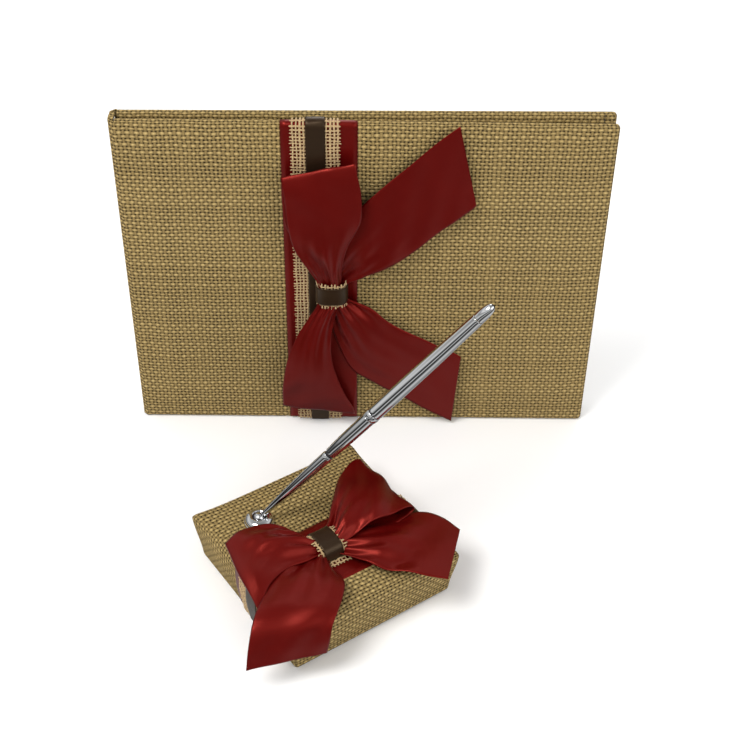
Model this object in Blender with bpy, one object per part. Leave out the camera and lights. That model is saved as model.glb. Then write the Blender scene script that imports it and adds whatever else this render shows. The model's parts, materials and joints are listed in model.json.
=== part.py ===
"""Wedding guest book with its pen and pen stand, in metres, +Z up.

The book stands closed on its long edge with the front cover facing -Y. The pen stand lies on the
same table in front of it. The origin is the middle of the front cover's bottom edge.
"""
import math

import bmesh
import bpy
from mathutils import Matrix, Vector

# ---- driving dimensions ------------------------------------------------------------------
BOOK_WIDTH = 0.250
BOOK_HEIGHT = 0.190
CLEARANCE = 0.0003

CLOTH_THICKNESS = 0.0006
COVER_PADDING = 0.0008
COVER_BOARD = 0.0016
PASTEDOWN_THICKNESS = 0.0003
TURN_IN = 0.006
COVER_EDGE_RADIUS = 0.0012

SPINE_BOARD = 0.0010
JOINT_GROOVE = 0.0004
HEADBAND_DEPTH = 0.0018
HEADBAND_HEIGHT = 0.0030

LEAF_THICKNESS = 0.00035
LEAF_PITCH = 0.00065
LEAF_STEP = 0.0005
LEAF_MARGIN = 0.005
BLOCK_HOLLOW = 0.0026
GAPE_DEG = 0.8

STAND_SIZE = 0.096
STAND_HEIGHT = 0.028
STAND_CENTRE = (-0.0181, -0.1202)
STAND_TURN_DEG = 34.7
STAND_PADDING = 0.0020
STAND_FELT = 0.0006
STAND_FELT_MARGIN = 0.006
STAND_EDGE_RADIUS = 0.004
BLOCK_EDGE_RADIUS = 0.0015

WIDE_RIBBON = 0.038
WIDE_RIBBON_SHIFT = 0.0018
BURLAP_RIBBON = 0.025
BROWN_RIBBON = 0.0096
SATIN_THICKNESS = 0.0003
BURLAP_RIBBON_THICKNESS = 0.0006
BAND_X = -0.0240
BAND_V = -0.0115

KNOT_HALF_LENGTH = 0.0070
KNOT_HALF_WIDTH = 0.0078
KNOT_RISE = 0.0072
KNOT_SATIN_HALF_LENGTH = 0.0055
BOOK_KNOT_X = -0.0167
BOOK_KNOT_HEIGHT = 0.0930
STAND_KNOT_U = -0.0065

BALL_RADIUS = 0.0030
BALL_BORE = 0.00135
BALL_RISE = 0.0028
BALL_PLACE = (-0.0227, 0.0239)
DOME_RADIUS = 0.0076
SOCKET_RADIUS = 0.0050
SOCKET_DEPTH = 0.0056
SEAT_WALL = 0.0007
SCREW_LENGTH = 0.0140
SCREW_RADIUS = 0.0012

PEN_REACH = 0.1660
PEN_NOSE_PAST_BALL = 0.0006
PEN_LEAN_DEG = 41.5
PEN_HEADING_DEG = 6.2
PEN_NOSE_LENGTH = 0.0530
PEN_FRONT_LENGTH = 0.0280
PEN_RING_LENGTH = 0.0030
PEN_RADIUS = 0.0037
PEN_NOSE_RADIUS = 0.0028
PEN_NOSE_TIP_RADIUS = 0.0009
PEN_WALL = 0.0006
REFILL_RADIUS = 0.0013
REFILL_TIP_RADIUS = 0.00030
REFILL_REST = 0.0004

# ---- sizes that follow -------------------------------------------------------------------
COVER_THICKNESS = 2 * CLOTH_THICKNESS + COVER_PADDING + COVER_BOARD + 3 * CLEARANCE
SPINE_THICKNESS = 2 * CLOTH_THICKNESS + SPINE_BOARD + 2 * CLEARANCE
HINGE_GAP = SPINE_THICKNESS + JOINT_GROOVE
LEAF_COUNT = 6
BLOCK_THICKNESS = (LEAF_COUNT - 1) * LEAF_PITCH + LEAF_THICKNESS
BOOK_THICKNESS = 2 * COVER_THICKNESS + BLOCK_THICKNESS + 2 * CLEARANCE
FRONT_FACE_Y = -COVER_THICKNESS / 2
STACK = {
    "wide": CLEARANCE,
    "burlap": 2 * CLEARANCE + SATIN_THICKNESS,
    "brown": 3 * CLEARANCE + SATIN_THICKNESS + BURLAP_RIBBON_THICKNESS,
}
BOW_BASE = STACK["brown"] + SATIN_THICKNESS + CLEARANCE

FINISHES = {
    "burlap": ((0.45, 0.33, 0.16), 0.9, 0.0),
    "red_satin": ((0.35, 0.02, 0.02), 0.35, 0.0),
    "brown_satin": ((0.05, 0.025, 0.012), 0.35, 0.0),
    "board": ((0.42, 0.40, 0.36), 0.8, 0.0),
    "padding": ((0.85, 0.84, 0.80), 0.95, 0.0),
    "paper": ((0.85, 0.82, 0.74), 0.7, 0.0),
    "mull": ((0.80, 0.78, 0.70), 0.9, 0.0),
    "headband": ((0.55, 0.42, 0.24), 0.7, 0.0),
    "block_wood": ((0.50, 0.36, 0.22), 0.7, 0.0),
    "felt": ((0.10, 0.08, 0.06), 0.95, 0.0),
    "chrome": ((0.80, 0.81, 0.83), 0.08, 1.0),
    "nylon": ((0.12, 0.12, 0.12), 0.5, 0.0),
    "steel": ((0.55, 0.55, 0.56), 0.3, 1.0),
    "brass": ((0.72, 0.52, 0.22), 0.3, 1.0),
    "refill": ((0.08, 0.09, 0.14), 0.4, 0.0),
}


# ---- helpers -----------------------------------------------------------------------------
def clear_scene():
    for item in list(bpy.data.objects):
        bpy.data.objects.remove(item, do_unlink=True)


def finish(name):
    if name in bpy.data.materials:
        return bpy.data.materials[name]
    colour, roughness, metallic = FINISHES[name]
    material = bpy.data.materials.new(name)
    material.use_nodes = True
    shader = material.node_tree.nodes["Principled BSDF"]
    shader.inputs["Base Color"].default_value = (*colour, 1.0)
    shader.inputs["Roughness"].default_value = roughness
    shader.inputs["Metallic"].default_value = metallic
    return material


def empty(name, parent=None, place=(0, 0, 0), turn=None):
    """An axis or a frame: turn is a 4x4 rotation."""
    guide = bpy.data.objects.new(name, None)
    bpy.context.collection.objects.link(guide)
    guide.parent = parent
    guide.matrix_basis = Matrix.Translation(Vector(place)) @ (turn or Matrix.Identity(4))
    return guide


def add(name, shape, parent, finish_name):
    """Puts a bmesh into the scene as one sub-part with its finish."""
    bmesh.ops.recalc_face_normals(shape, faces=shape.faces)
    mesh = bpy.data.meshes.new(name)
    shape.to_mesh(mesh)
    shape.free()
    item = bpy.data.objects.new(name, mesh)
    bpy.context.collection.objects.link(item)
    item.parent = parent
    item.data.materials.append(finish(finish_name))
    mesh.shade_smooth()
    mesh.set_sharp_from_angle(angle=math.radians(35))
    return item


def box_shape(low, high, radius=0.0, segments=2):
    shape = bmesh.new()
    bmesh.ops.create_cube(shape, size=1.0)
    middle = [(a + b) / 2 for a, b in zip(low, high)]
    for vertex in shape.verts:
        for axis in range(3):
            vertex.co[axis] = middle[axis] + vertex.co[axis] * (high[axis] - low[axis])
    if radius > 0:
        bmesh.ops.bevel(shape, geom=shape.edges[:], offset=radius, segments=segments,
                        profile=0.5, affect="EDGES")
    return shape


def cut(item, name, shape):
    """Takes a shape away from an item with a hidden wire cutter."""
    bmesh.ops.recalc_face_normals(shape, faces=shape.faces)
    mesh = bpy.data.meshes.new(name)
    shape.to_mesh(mesh)
    shape.free()
    cutter = bpy.data.objects.new(name, mesh)
    bpy.context.collection.objects.link(cutter)
    cutter.parent = item.parent
    cutter.hide_render = True
    cutter.display_type = "WIRE"
    modifier = item.modifiers.new(name, "BOOLEAN")
    modifier.operation = "DIFFERENCE"
    modifier.solver = "EXACT"
    modifier.object = cutter


def turned_shape(profile, segments=24, closed=True):
    """Turns (radius, height) points about Z. A radius of 0 is a pole."""
    shape = bmesh.new()
    rings = []
    for radius, height in profile:
        if radius == 0:
            rings.append([shape.verts.new((0, 0, height))])
            continue
        ring = []
        for step in range(segments):
            angle = 2 * math.pi * step / segments
            ring.append(shape.verts.new((radius * math.cos(angle), radius * math.sin(angle), height)))
        rings.append(ring)
    pairs = list(zip(rings, rings[1:]))
    if closed:
        pairs.append((rings[-1], rings[0]))
    for first, second in pairs:
        for step in range(segments):
            after = (step + 1) % segments
            if len(first) == 1 and len(second) == 1:
                break
            if len(first) == 1:
                shape.faces.new((first[0], second[step], second[after]))
            elif len(second) == 1:
                shape.faces.new((first[step], second[0], first[after]))
            else:
                shape.faces.new((first[step], second[step], second[after], first[after]))
    return shape


def loft_shape(sections):
    """Joins rings of equal length into one closed solid with flat ends."""
    shape = bmesh.new()
    rings = [[shape.verts.new(point) for point in section] for section in sections]
    for first, second in zip(rings, rings[1:]):
        count = len(first)
        for step in range(count):
            after = (step + 1) % count
            shape.faces.new((first[step], first[after], second[after], second[step]))
    shape.faces.new(list(reversed(rings[0])))
    shape.faces.new(rings[-1])
    return shape


def band_shape(path, thickness, low, high, across, place):
    """A flat ribbon: a path in a plane, thickened to its left and extruded from low to high.

    across is the ribbon's width axis; place turns (first, second) path values into a point.
    """
    left = []
    for index, point in enumerate(path):
        before = Vector(path[max(index - 1, 0)])
        after = Vector(path[min(index + 1, len(path) - 1)])
        here = Vector(point)
        sides = []
        for start, end in ((before, here), (here, after)):
            if (end - start).length > 0:
                along = (end - start).normalized()
                sides.append(Vector((-along.y, along.x)))
        normal = sum(sides, Vector((0, 0))).normalized()
        left.append(here + normal * thickness / max(normal.dot(sides[0]), 0.5))
    outline = [Vector(point) for point in path] + list(reversed(left))
    shift = Vector(across)
    return loft_shape([[place(point) + shift * offset for point in outline]
                       for offset in (low, high)])


# ---- covers ------------------------------------------------------------------------------
def cloth_case(name, low, high, side, window, parent):
    """Cloth glued round a board: a thin tray, open in the middle of its inner face."""
    item = add(name, box_shape(low, high, COVER_EDGE_RADIUS), parent, "burlap")
    inner_low = [value + CLOTH_THICKNESS for value in low]
    inner_high = [value - CLOTH_THICKNESS for value in high]
    cut(item, name + "_cavity", box_shape(inner_low, inner_high))
    axis, sign = side
    mouth_low = [value + window for value in low]
    mouth_high = [value - window for value in high]
    mouth_low[axis] = (low[axis] + high[axis]) / 2
    mouth_high[axis] = mouth_low[axis]
    if sign > 0:
        mouth_high[axis] = high[axis] + CLOTH_THICKNESS
    else:
        mouth_low[axis] = low[axis] - CLOTH_THICKNESS
    cut(item, name + "_mouth", box_shape(mouth_low, mouth_high))
    return item


def cover_layer(name, side, depth, thickness, inset, parent, finish_name):
    """One flat layer of a cover. depth is measured from the outer face inwards."""
    near = side * depth
    far = side * (depth + thickness)
    low = (HINGE_GAP + inset, min(near, far), inset)
    high = (BOOK_WIDTH - inset, max(near, far), BOOK_HEIGHT - inset)
    add(name, box_shape(low, high), parent, finish_name)


def build_cover(prefix, side, hinge):
    """side is +1 for the front cover, whose inner face looks along +Y, and -1 for the back."""
    inset = CLOTH_THICKNESS + CLEARANCE
    outer = side * COVER_THICKNESS
    cloth_case(prefix + "_burlap", (HINGE_GAP, min(0, outer), 0),
               (BOOK_WIDTH, max(0, outer), BOOK_HEIGHT), (1, side), TURN_IN, hinge)
    depth = inset
    cover_layer(prefix + "_padding", side, depth, COVER_PADDING, inset, hinge, "padding")
    depth += COVER_PADDING + CLEARANCE
    cover_layer(prefix + "_board", side, depth, COVER_BOARD, inset, hinge, "board")
    depth += COVER_BOARD + CLEARANCE
    cover_layer(prefix + "_pastedown", side, depth, PASTEDOWN_THICKNESS,
                TURN_IN + CLEARANCE, hinge, "paper")


def build_spine(hinge):
    low = (0, HINGE_GAP, 0)
    high = (SPINE_THICKNESS, BOOK_THICKNESS - HINGE_GAP, BOOK_HEIGHT)
    window = 0.0016
    cloth_case("spine_burlap", low, high, (0, 1), window, hinge)
    inset = CLOTH_THICKNESS + CLEARANCE
    add("spine_board",
        box_shape((inset, low[1] + inset, inset),
                  (inset + SPINE_BOARD, high[1] - inset, BOOK_HEIGHT - inset)), hinge, "board")
    start = inset + SPINE_BOARD + CLEARANCE
    margin = window + CLEARANCE
    add("spine_lining",
        box_shape((start, low[1] + margin, margin),
                  (start + PASTEDOWN_THICKNESS, high[1] - margin, BOOK_HEIGHT - margin)),
        hinge, "mull")
    band_low = SPINE_THICKNESS + CLEARANCE
    front = COVER_THICKNESS + 2 * CLEARANCE
    back = BOOK_THICKNESS - front
    ends = (("headband_top", BOOK_HEIGHT - LEAF_MARGIN), ("headband_bottom", LEAF_MARGIN))
    for name, edge in ends:
        base = edge - HEADBAND_HEIGHT / 2
        add(name, box_shape((band_low, front, base),
                            (band_low + HEADBAND_DEPTH, back, base + HEADBAND_HEIGHT),
                            0.0005, 2), hinge, "headband")


def build_leaves(hinge):
    names = ["front_flyleaf", "signature_1", "signature_2", "signature_3", "signature_4",
             "back_flyleaf"]
    first = COVER_THICKNESS + CLEARANCE + LEAF_THICKNESS / 2
    for index, name in enumerate(names):
        step_in = min(index, LEAF_COUNT - 1 - index)
        start = SPINE_THICKNESS + BLOCK_HOLLOW + step_in * LEAF_STEP
        opened = math.radians(GAPE_DEG) * (index + 1) / (LEAF_COUNT + 1)
        axis = empty(name + "_axis", hinge, (start, first + index * LEAF_PITCH, 0),
                     Matrix.Rotation(opened, 4, "Z"))
        half = LEAF_THICKNESS / 2
        add(name, box_shape((0, -half, LEAF_MARGIN),
                            (BOOK_WIDTH - LEAF_MARGIN - start, half, BOOK_HEIGHT - LEAF_MARGIN)),
            axis, "paper")


# ---- ribbons and bows --------------------------------------------------------------------
def book_point(value):
    """Path values (out of the cover, up) to a point in the front cover's own frame."""
    return Vector((0, FRONT_FACE_Y - value[0], value[1]))


def build_book_bands(parent):
    wide = (BAND_X - WIDE_RIBBON / 2 + WIDE_RIBBON_SHIFT, BAND_X + WIDE_RIBBON / 2 + WIDE_RIBBON_SHIFT)
    bands = (
        ("book_wide_ribbon", "wide", SATIN_THICKNESS, wide, "red_satin"),
        ("book_burlap_ribbon", "burlap", BURLAP_RIBBON_THICKNESS,
         (BAND_X - BURLAP_RIBBON / 2, BAND_X + BURLAP_RIBBON / 2), "burlap"),
        ("book_brown_ribbon", "brown", SATIN_THICKNESS,
         (BAND_X - BROWN_RIBBON / 2, BAND_X + BROWN_RIBBON / 2), "brown_satin"),
    )
    for name, layer, thickness, (low, high), finish_name in bands:
        out = STACK[layer]
        top = BOOK_HEIGHT + out
        bend = COVER_EDGE_RADIUS
        path = [(out, CLEARANCE), (out, top - bend - out), (out - bend * 0.3, top - bend * 0.3),
                (-bend, top), (-COVER_THICKNESS, top)]
        shape = band_shape(path, -thickness, low, high, (1, 0, 0), book_point)
        add(name, shape, parent, finish_name)


def stand_point(value):
    """Path values (along the band, up) to a point in the stand's own frame."""
    return Vector((value[0], 0, value[1]))


def build_stand_bands(parent):
    wide = (BAND_V - WIDE_RIBBON / 2 - WIDE_RIBBON_SHIFT, BAND_V + WIDE_RIBBON / 2 - WIDE_RIBBON_SHIFT)
    bands = (
        ("stand_wide_ribbon", "wide", SATIN_THICKNESS, wide, "red_satin"),
        ("stand_burlap_ribbon", "burlap", BURLAP_RIBBON_THICKNESS,
         (BAND_V - BURLAP_RIBBON / 2, BAND_V + BURLAP_RIBBON / 2), "burlap"),
        ("stand_brown_ribbon", "brown", SATIN_THICKNESS,
         (BAND_V - BROWN_RIBBON / 2, BAND_V + BROWN_RIBBON / 2), "brown_satin"),
    )
    for name, layer, thickness, (low, high), finish_name in bands:
        out = STACK[layer]
        edge = STAND_SIZE / 2 + out
        top = STAND_HEIGHT + out
        bend = STAND_EDGE_RADIUS
        half = [(edge, CLEARANCE), (edge, top - bend), (edge - bend * 0.3, top - bend * 0.3),
                (edge - bend, top)]
        path = half + [(-first, second) for first, second in reversed(half)]
        shape = band_shape(path, -thickness, low, high, (0, 1, 0), stand_point)
        add(name, shape, parent, finish_name)


def soft_section(centre, across, outward, half_width, half_thickness, count=10):
    """A flattened oval ring for the soft loops and tails."""
    ring = []
    for step in range(count):
        angle = 2 * math.pi * step / count
        bulge = math.copysign(abs(math.sin(angle)) ** 0.7, math.sin(angle))
        ring.append(centre + across * half_width * math.cos(angle)
                    + outward * half_thickness * bulge)
    return ring


def soft_piece(name, stations, parent):
    """Lofts ovals along hand-set stations of (a, b, out, half width, half thickness, turn)."""
    sections = []
    for along, side, out, half_width, half_thickness, turn_deg in stations:
        turn = math.radians(turn_deg)
        across = Vector((math.cos(turn), math.sin(turn), 0))
        centre = Vector((side, along, out))
        sections.append(soft_section(centre, across, Vector((0, 0, 1)), half_width, half_thickness))
    add(name, loft_shape(sections), parent, "red_satin")


def build_bow(prefix, frame, loops, tails):
    """A bow in its own frame: X across the band, Y along it, Z out of the surface."""
    for name, stations in loops + tails:
        soft_piece(prefix + name, stations, frame)
    knots = (("_knot_burlap", KNOT_HALF_WIDTH, KNOT_RISE, KNOT_HALF_LENGTH, BURLAP_RIBBON_THICKNESS,
              "burlap"),
             ("_knot_satin", KNOT_HALF_WIDTH + BURLAP_RIBBON_THICKNESS + CLEARANCE,
              KNOT_RISE + BURLAP_RIBBON_THICKNESS + CLEARANCE, KNOT_SATIN_HALF_LENGTH,
              SATIN_THICKNESS, "brown_satin"))
    for name, reach, rise, half_length, thickness, finish_name in knots:
        corner = 0.0022
        half = [(reach, 0), (reach, rise - corner), (reach - corner * 0.3, rise - corner * 0.3),
                (reach - corner, rise)]
        path = half + [(-first, second) for first, second in reversed(half)]
        shape = band_shape(path, -thickness, -half_length, half_length, (0, 1, 0), stand_point)
        add(prefix + name, shape, frame, finish_name)


# Stations of each soft piece, from inside the knot outwards:
# (along the band, across it, out of the surface, half width, half thickness, turn in degrees).
LOOP_NECK = [(0.0004, -0.0005, 0.0050, 0.0058, 0.0014, 0), (0.0080, -0.0005, 0.0050, 0.0060, 0.0016, 0)]
TAIL_NECK = [(0.0004, 0.0005, 0.0017, 0.0055, 0.0010, 0), (0.0080, 0.0005, 0.0017, 0.0056, 0.0010, 0)]


def mirrored(stations):
    """The same stations on the other side of the knot."""
    return [(-along, side, out, width, thick, -turn) for along, side, out, width, thick, turn in stations]


BOOK_LOOPS = [
    ("_upper_loop", LOOP_NECK + [(0.0190, -0.0010, 0.0068, 0.0090, 0.0035, 0),
                                 (0.0380, -0.0015, 0.0090, 0.0150, 0.0060, 3),
                                 (0.0645, -0.0035, 0.0100, 0.0185, 0.0070, 8),
                                 (0.0790, -0.0050, 0.0090, 0.0180, 0.0040, 12)]),
    ("_lower_loop", mirrored(LOOP_NECK + [(0.0170, -0.0030, 0.0068, 0.0085, 0.0035, 0),
                                          (0.0345, -0.0095, 0.0090, 0.0120, 0.0060, 0),
                                          (0.0595, -0.0100, 0.0100, 0.0180, 0.0070, 0),
                                          (0.0790, -0.0075, 0.0090, 0.0195, 0.0040, 8)])),
]
BOOK_TAILS = [
    ("_upper_tail", TAIL_NECK + [(0.0170, 0.0090, 0.0019, 0.0090, 0.0010, -35),
                                 (0.0325, 0.0230, 0.0022, 0.0175, 0.0010, -50),
                                 (0.0540, 0.0450, 0.0034, 0.0200, 0.0012, -55),
                                 (0.0750, 0.0670, 0.0040, 0.0205, 0.0012, -62)]),
    ("_lower_tail", mirrored(TAIL_NECK + [(0.0155, 0.0080, 0.0019, 0.0085, 0.0010, -35),
                                          (0.0330, 0.0200, 0.0022, 0.0160, 0.0010, -52),
                                          (0.0530, 0.0450, 0.0034, 0.0195, 0.0012, -60),
                                          (0.0670, 0.0680, 0.0040, 0.0205, 0.0012, -72)])),
]
STAND_LOOPS = [
    ("_left_loop", mirrored(LOOP_NECK + [(0.0150, -0.0010, 0.0064, 0.0110, 0.0030, 0),
                                         (0.0240, -0.0020, 0.0082, 0.0165, 0.0045, 0),
                                         (0.0360, -0.0030, 0.0088, 0.0200, 0.0055, 0),
                                         (0.0470, -0.0030, 0.0075, 0.0190, 0.0040, 0)])),
    ("_right_loop", LOOP_NECK + [(0.0150, -0.0030, 0.0064, 0.0110, 0.0030, 0),
                                 (0.0260, -0.0080, 0.0085, 0.0170, 0.0055, 0),
                                 (0.0380, -0.0140, 0.0095, 0.0205, 0.0065, 0),
                                 (0.0480, -0.0160, 0.0085, 0.0200, 0.0040, 0)]),
]
STAND_TAILS = [
    ("_left_tail", mirrored(TAIL_NECK + [(0.0170, 0.0120, 0.0018, 0.0090, 0.0010, -20),
                                         (0.0320, 0.0260, 0.0018, 0.0165, 0.0010, -25),
                                         (0.0430, 0.0380, 0.0000, 0.0190, 0.0010, -30),
                                         (0.0482, 0.0420, -0.0028, 0.0190, 0.0010, -30)])),
    ("_right_tail", TAIL_NECK + [(0.0150, 0.0110, 0.0018, 0.0080, 0.0010, -30),
                                 (0.0260, 0.0270, 0.0020, 0.0150, 0.0010, -42),
                                 (0.0420, 0.0440, 0.0020, 0.0180, 0.0010, -50)]),
]


# ---- pen stand ---------------------------------------------------------------------------
def stand_socket_hole(item, radius, bottom):
    """A round hole for the dome's barrel, from above the stand down to bottom."""
    profile = [(0, bottom), (radius, bottom), (radius, STAND_HEIGHT + 0.002), (0, STAND_HEIGHT + 0.002)]
    shape = turned_shape(profile, 24, closed=False)
    bmesh.ops.translate(shape, verts=shape.verts[:], vec=(BALL_PLACE[0], BALL_PLACE[1], 0))
    cut(item, item.name + "_socket", shape)


def build_stand(frame):
    half = STAND_SIZE / 2
    cover = add("stand_burlap", box_shape((-half, -half, 0), (half, half, STAND_HEIGHT),
                                          STAND_EDGE_RADIUS, 3), frame, "burlap")
    wall = CLOTH_THICKNESS
    inner = half - wall
    cavity = box_shape((-inner, -inner, wall), (inner, inner, STAND_HEIGHT - wall),
                       STAND_EDGE_RADIUS - wall, 3)
    cut(cover, "stand_burlap_cavity", cavity)
    mouth = half - STAND_FELT_MARGIN
    cut(cover, "stand_burlap_mouth",
        box_shape((-mouth, -mouth, -wall), (mouth, mouth, STAND_HEIGHT / 2)))
    hole = SOCKET_RADIUS + CLEARANCE
    stand_socket_hole(cover, hole, STAND_HEIGHT / 2)

    gap = wall + CLEARANCE
    outer = half - gap
    top = STAND_HEIGHT - gap
    core = outer - STAND_PADDING - CLEARANCE
    core_top = top - STAND_PADDING - CLEARANCE
    padding = add("stand_padding", box_shape((-outer, -outer, gap), (outer, outer, top),
                                             STAND_EDGE_RADIUS - gap, 2), frame, "padding")
    pocket = core + CLEARANCE
    cut(padding, "stand_padding_pocket",
        box_shape((-pocket, -pocket, -gap), (pocket, pocket, core_top + CLEARANCE)))
    stand_socket_hole(padding, hole, STAND_HEIGHT / 2)
    block = add("stand_block", box_shape((-core, -core, gap), (core, core, core_top),
                                         BLOCK_EDGE_RADIUS), frame, "block_wood")
    socket_bottom = STAND_HEIGHT - SOCKET_DEPTH - CLEARANCE
    stand_socket_hole(block, hole, socket_bottom)
    stand_socket_hole(block, SCREW_RADIUS + CLEARANCE,
                      socket_bottom - SCREW_LENGTH - CLEARANCE)
    felt = mouth - CLEARANCE
    add("stand_felt", box_shape((-felt, -felt, 0), (felt, felt, STAND_FELT)), frame, "felt")


def build_swivel(frame):
    """The chrome dome with its socket, screw, seat ring and ball, and the pen's axis."""
    place = Vector((BALL_PLACE[0], BALL_PLACE[1], STAND_HEIGHT))
    dome_frame = empty("dome_frame", frame, place)
    plate_top = -SOCKET_DEPTH + 0.0006
    pocket = BALL_RADIUS + CLEARANCE + SEAT_WALL + CLEARANCE
    screw_hole = SCREW_RADIUS + CLEARANCE
    seat_low = BALL_RISE - BALL_RADIUS * 0.75
    ledge = seat_low - CLEARANCE
    ledge_radius = BALL_RADIUS * 0.93
    lip_radius = BALL_RADIUS * 1.03
    lip_height = BALL_RISE + BALL_RADIUS * 0.42
    dome = [
        (screw_hole, -SOCKET_DEPTH), (SOCKET_RADIUS, -SOCKET_DEPTH), (SOCKET_RADIUS, CLEARANCE),
        (DOME_RADIUS, CLEARANCE), (DOME_RADIUS, 0.0010), (DOME_RADIUS * 0.92, 0.0022),
        (DOME_RADIUS * 0.76, 0.0034), (DOME_RADIUS * 0.58, lip_height + 0.0001),
        (lip_radius + 0.0005, lip_height + 0.0004), (lip_radius, lip_height + 0.0001),
        (lip_radius, lip_height - 0.0002), (pocket, BALL_RISE + 0.0004), (pocket, ledge),
        (ledge_radius, ledge), (ledge_radius, plate_top), (screw_hole, plate_top),
    ]
    add("funnel_dome", turned_shape(dome, 32), dome_frame, "chrome")
    head_low = plate_top + CLEARANCE
    head = 0.0006
    screw = [(0, -SOCKET_DEPTH - SCREW_LENGTH), (SCREW_RADIUS, -SOCKET_DEPTH - SCREW_LENGTH + 0.003),
             (SCREW_RADIUS, head_low), (ledge_radius - 2 * CLEARANCE, head_low),
             (ledge_radius - 2 * CLEARANCE, head_low + head), (0, head_low + head)]
    add("funnel_screw", turned_shape(screw, 12, closed=False), dome_frame, "steel")

    spin = empty("swivel_spin_axis", frame, place + Vector((0, 0, BALL_RISE)),
                 Matrix.Rotation(math.radians(PEN_HEADING_DEG - STAND_TURN_DEG), 4, "Z"))
    bowl = BALL_RADIUS + CLEARANCE
    outside = bowl + SEAT_WALL
    seat = [(outside, -BALL_RADIUS * 0.75), (outside, -CLEARANCE)]
    for angle in (-6, -20, -34, -46):
        seat.append((bowl * math.cos(math.radians(angle)), bowl * math.sin(math.radians(angle))))
    add("swivel_seat", turned_shape(seat, 24), spin, "nylon")

    tilt = empty("pen_axis", spin, (0, 0, 0), Matrix.Rotation(math.radians(PEN_LEAN_DEG), 4, "Y"))
    mouth_deg = math.degrees(math.asin(BALL_BORE / BALL_RADIUS))
    steps = 8
    ball = []
    for step in range(steps + 1):
        polar = math.radians(mouth_deg + (180 - 2 * mouth_deg) * step / steps)
        ball.append((BALL_RADIUS * math.sin(polar), BALL_RADIUS * math.cos(polar)))
    add("swivel_ball", turned_shape(ball, 20), tilt, "chrome")
    return tilt


# ---- pen ---------------------------------------------------------------------------------
def build_pen(axis):
    """The pen lies along its axis's +Z, with its nose just past the ball's centre."""
    bottom = -PEN_NOSE_PAST_BALL
    joint = PEN_NOSE_LENGTH
    bore = REFILL_RADIUS + CLEARANCE
    tip_bore = REFILL_TIP_RADIUS + CLEARANCE
    neck = 0.0140
    nose = [
        (tip_bore, bottom), (PEN_NOSE_TIP_RADIUS, bottom), (PEN_NOSE_TIP_RADIUS + 0.0006, 0.014),
        (PEN_NOSE_RADIUS * 0.78, 0.030), (PEN_NOSE_RADIUS, joint - 0.001), (PEN_NOSE_RADIUS - 0.0002, joint),
        (bore + 0.0001, joint), (bore, neck + 0.014), (tip_bore, neck),
    ]
    add("pen_nose_cone", turned_shape(nose, 20), axis, "chrome")
    gap_low = joint + CLEARANCE
    gap_high = gap_low + 0.0008
    inner = PEN_NOSE_RADIUS - 0.0005
    add("pen_joint_ring", turned_shape([(bore, gap_low), (inner, gap_low), (inner, gap_high),
                                        (bore, gap_high)], 20), axis, "nylon")
    barrel_low = gap_high + CLEARANCE
    barrel_high = barrel_low + PEN_FRONT_LENGTH
    front_radius = PEN_RADIUS - 0.0002
    front = [(bore, barrel_low), (PEN_NOSE_RADIUS, barrel_low), (PEN_NOSE_RADIUS + 0.0004, barrel_low + 0.009),
             (front_radius, barrel_high), (bore, barrel_high)]
    add("pen_front_barrel", turned_shape(front, 24), axis, "chrome")
    ring_low = barrel_high + CLEARANCE
    ring_high = ring_low + PEN_RING_LENGTH
    ring_mid = (ring_low + ring_high) / 2
    add("pen_centre_ring", turned_shape([(bore, ring_low), (PEN_RADIUS, ring_low),
                                         (PEN_RADIUS + 0.0002, ring_mid), (PEN_RADIUS, ring_high),
                                         (bore, ring_high)], 24), axis, "chrome")
    upper_low = ring_high + CLEARANCE
    cap_low = PEN_REACH - 0.0100
    bore_wide = PEN_RADIUS - PEN_WALL
    cam_top = upper_low + 0.0260
    upper = [(bore_wide, upper_low), (PEN_RADIUS, upper_low), (PEN_RADIUS * 0.97, 0.120),
             (PEN_RADIUS * 0.80, cap_low), (PEN_RADIUS * 0.80 - PEN_WALL, cap_low),
             (PEN_RADIUS * 0.90 - PEN_WALL, 0.130), (bore_wide - 0.0001, 0.118)]
    add("pen_upper_barrel", turned_shape(upper, 24), axis, "chrome")
    cap_base = cap_low + CLEARANCE
    cap = [(0, cap_base), (PEN_RADIUS * 0.78, cap_base), (PEN_RADIUS * 0.62, PEN_REACH - 0.0040),
           (PEN_RADIUS * 0.36, PEN_REACH - 0.0008), (0, PEN_REACH)]
    add("pen_end_cap", turned_shape(cap, 20, closed=False), axis, "chrome")
    cam_outer = bore_wide - CLEARANCE
    add("pen_twist_cam", turned_shape([(bore, upper_low + 0.0010), (cam_outer, upper_low + 0.0010),
                                       (cam_outer, cam_top), (bore, cam_top)], 20), axis, "brass")
    tube_low = neck + 0.0170
    tube_high = cam_top - 0.0040
    add("pen_refill_tube", turned_shape([(0, tube_low), (REFILL_RADIUS, tube_low),
                                         (REFILL_RADIUS, tube_high), (0, tube_high)], 12,
                                        closed=False), axis, "refill")
    tip_low = bottom + REFILL_REST
    step = neck + 0.0040
    tip = [(0, tip_low), (REFILL_TIP_RADIUS, tip_low + 0.0004), (REFILL_TIP_RADIUS, step),
           (REFILL_RADIUS - 0.0004, tube_low - 0.0030), (REFILL_RADIUS - 0.0004, tube_low - CLEARANCE),
           (0, tube_low - CLEARANCE)]
    add("pen_refill_tip", turned_shape(tip, 12, closed=False), axis, "steel")


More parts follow.
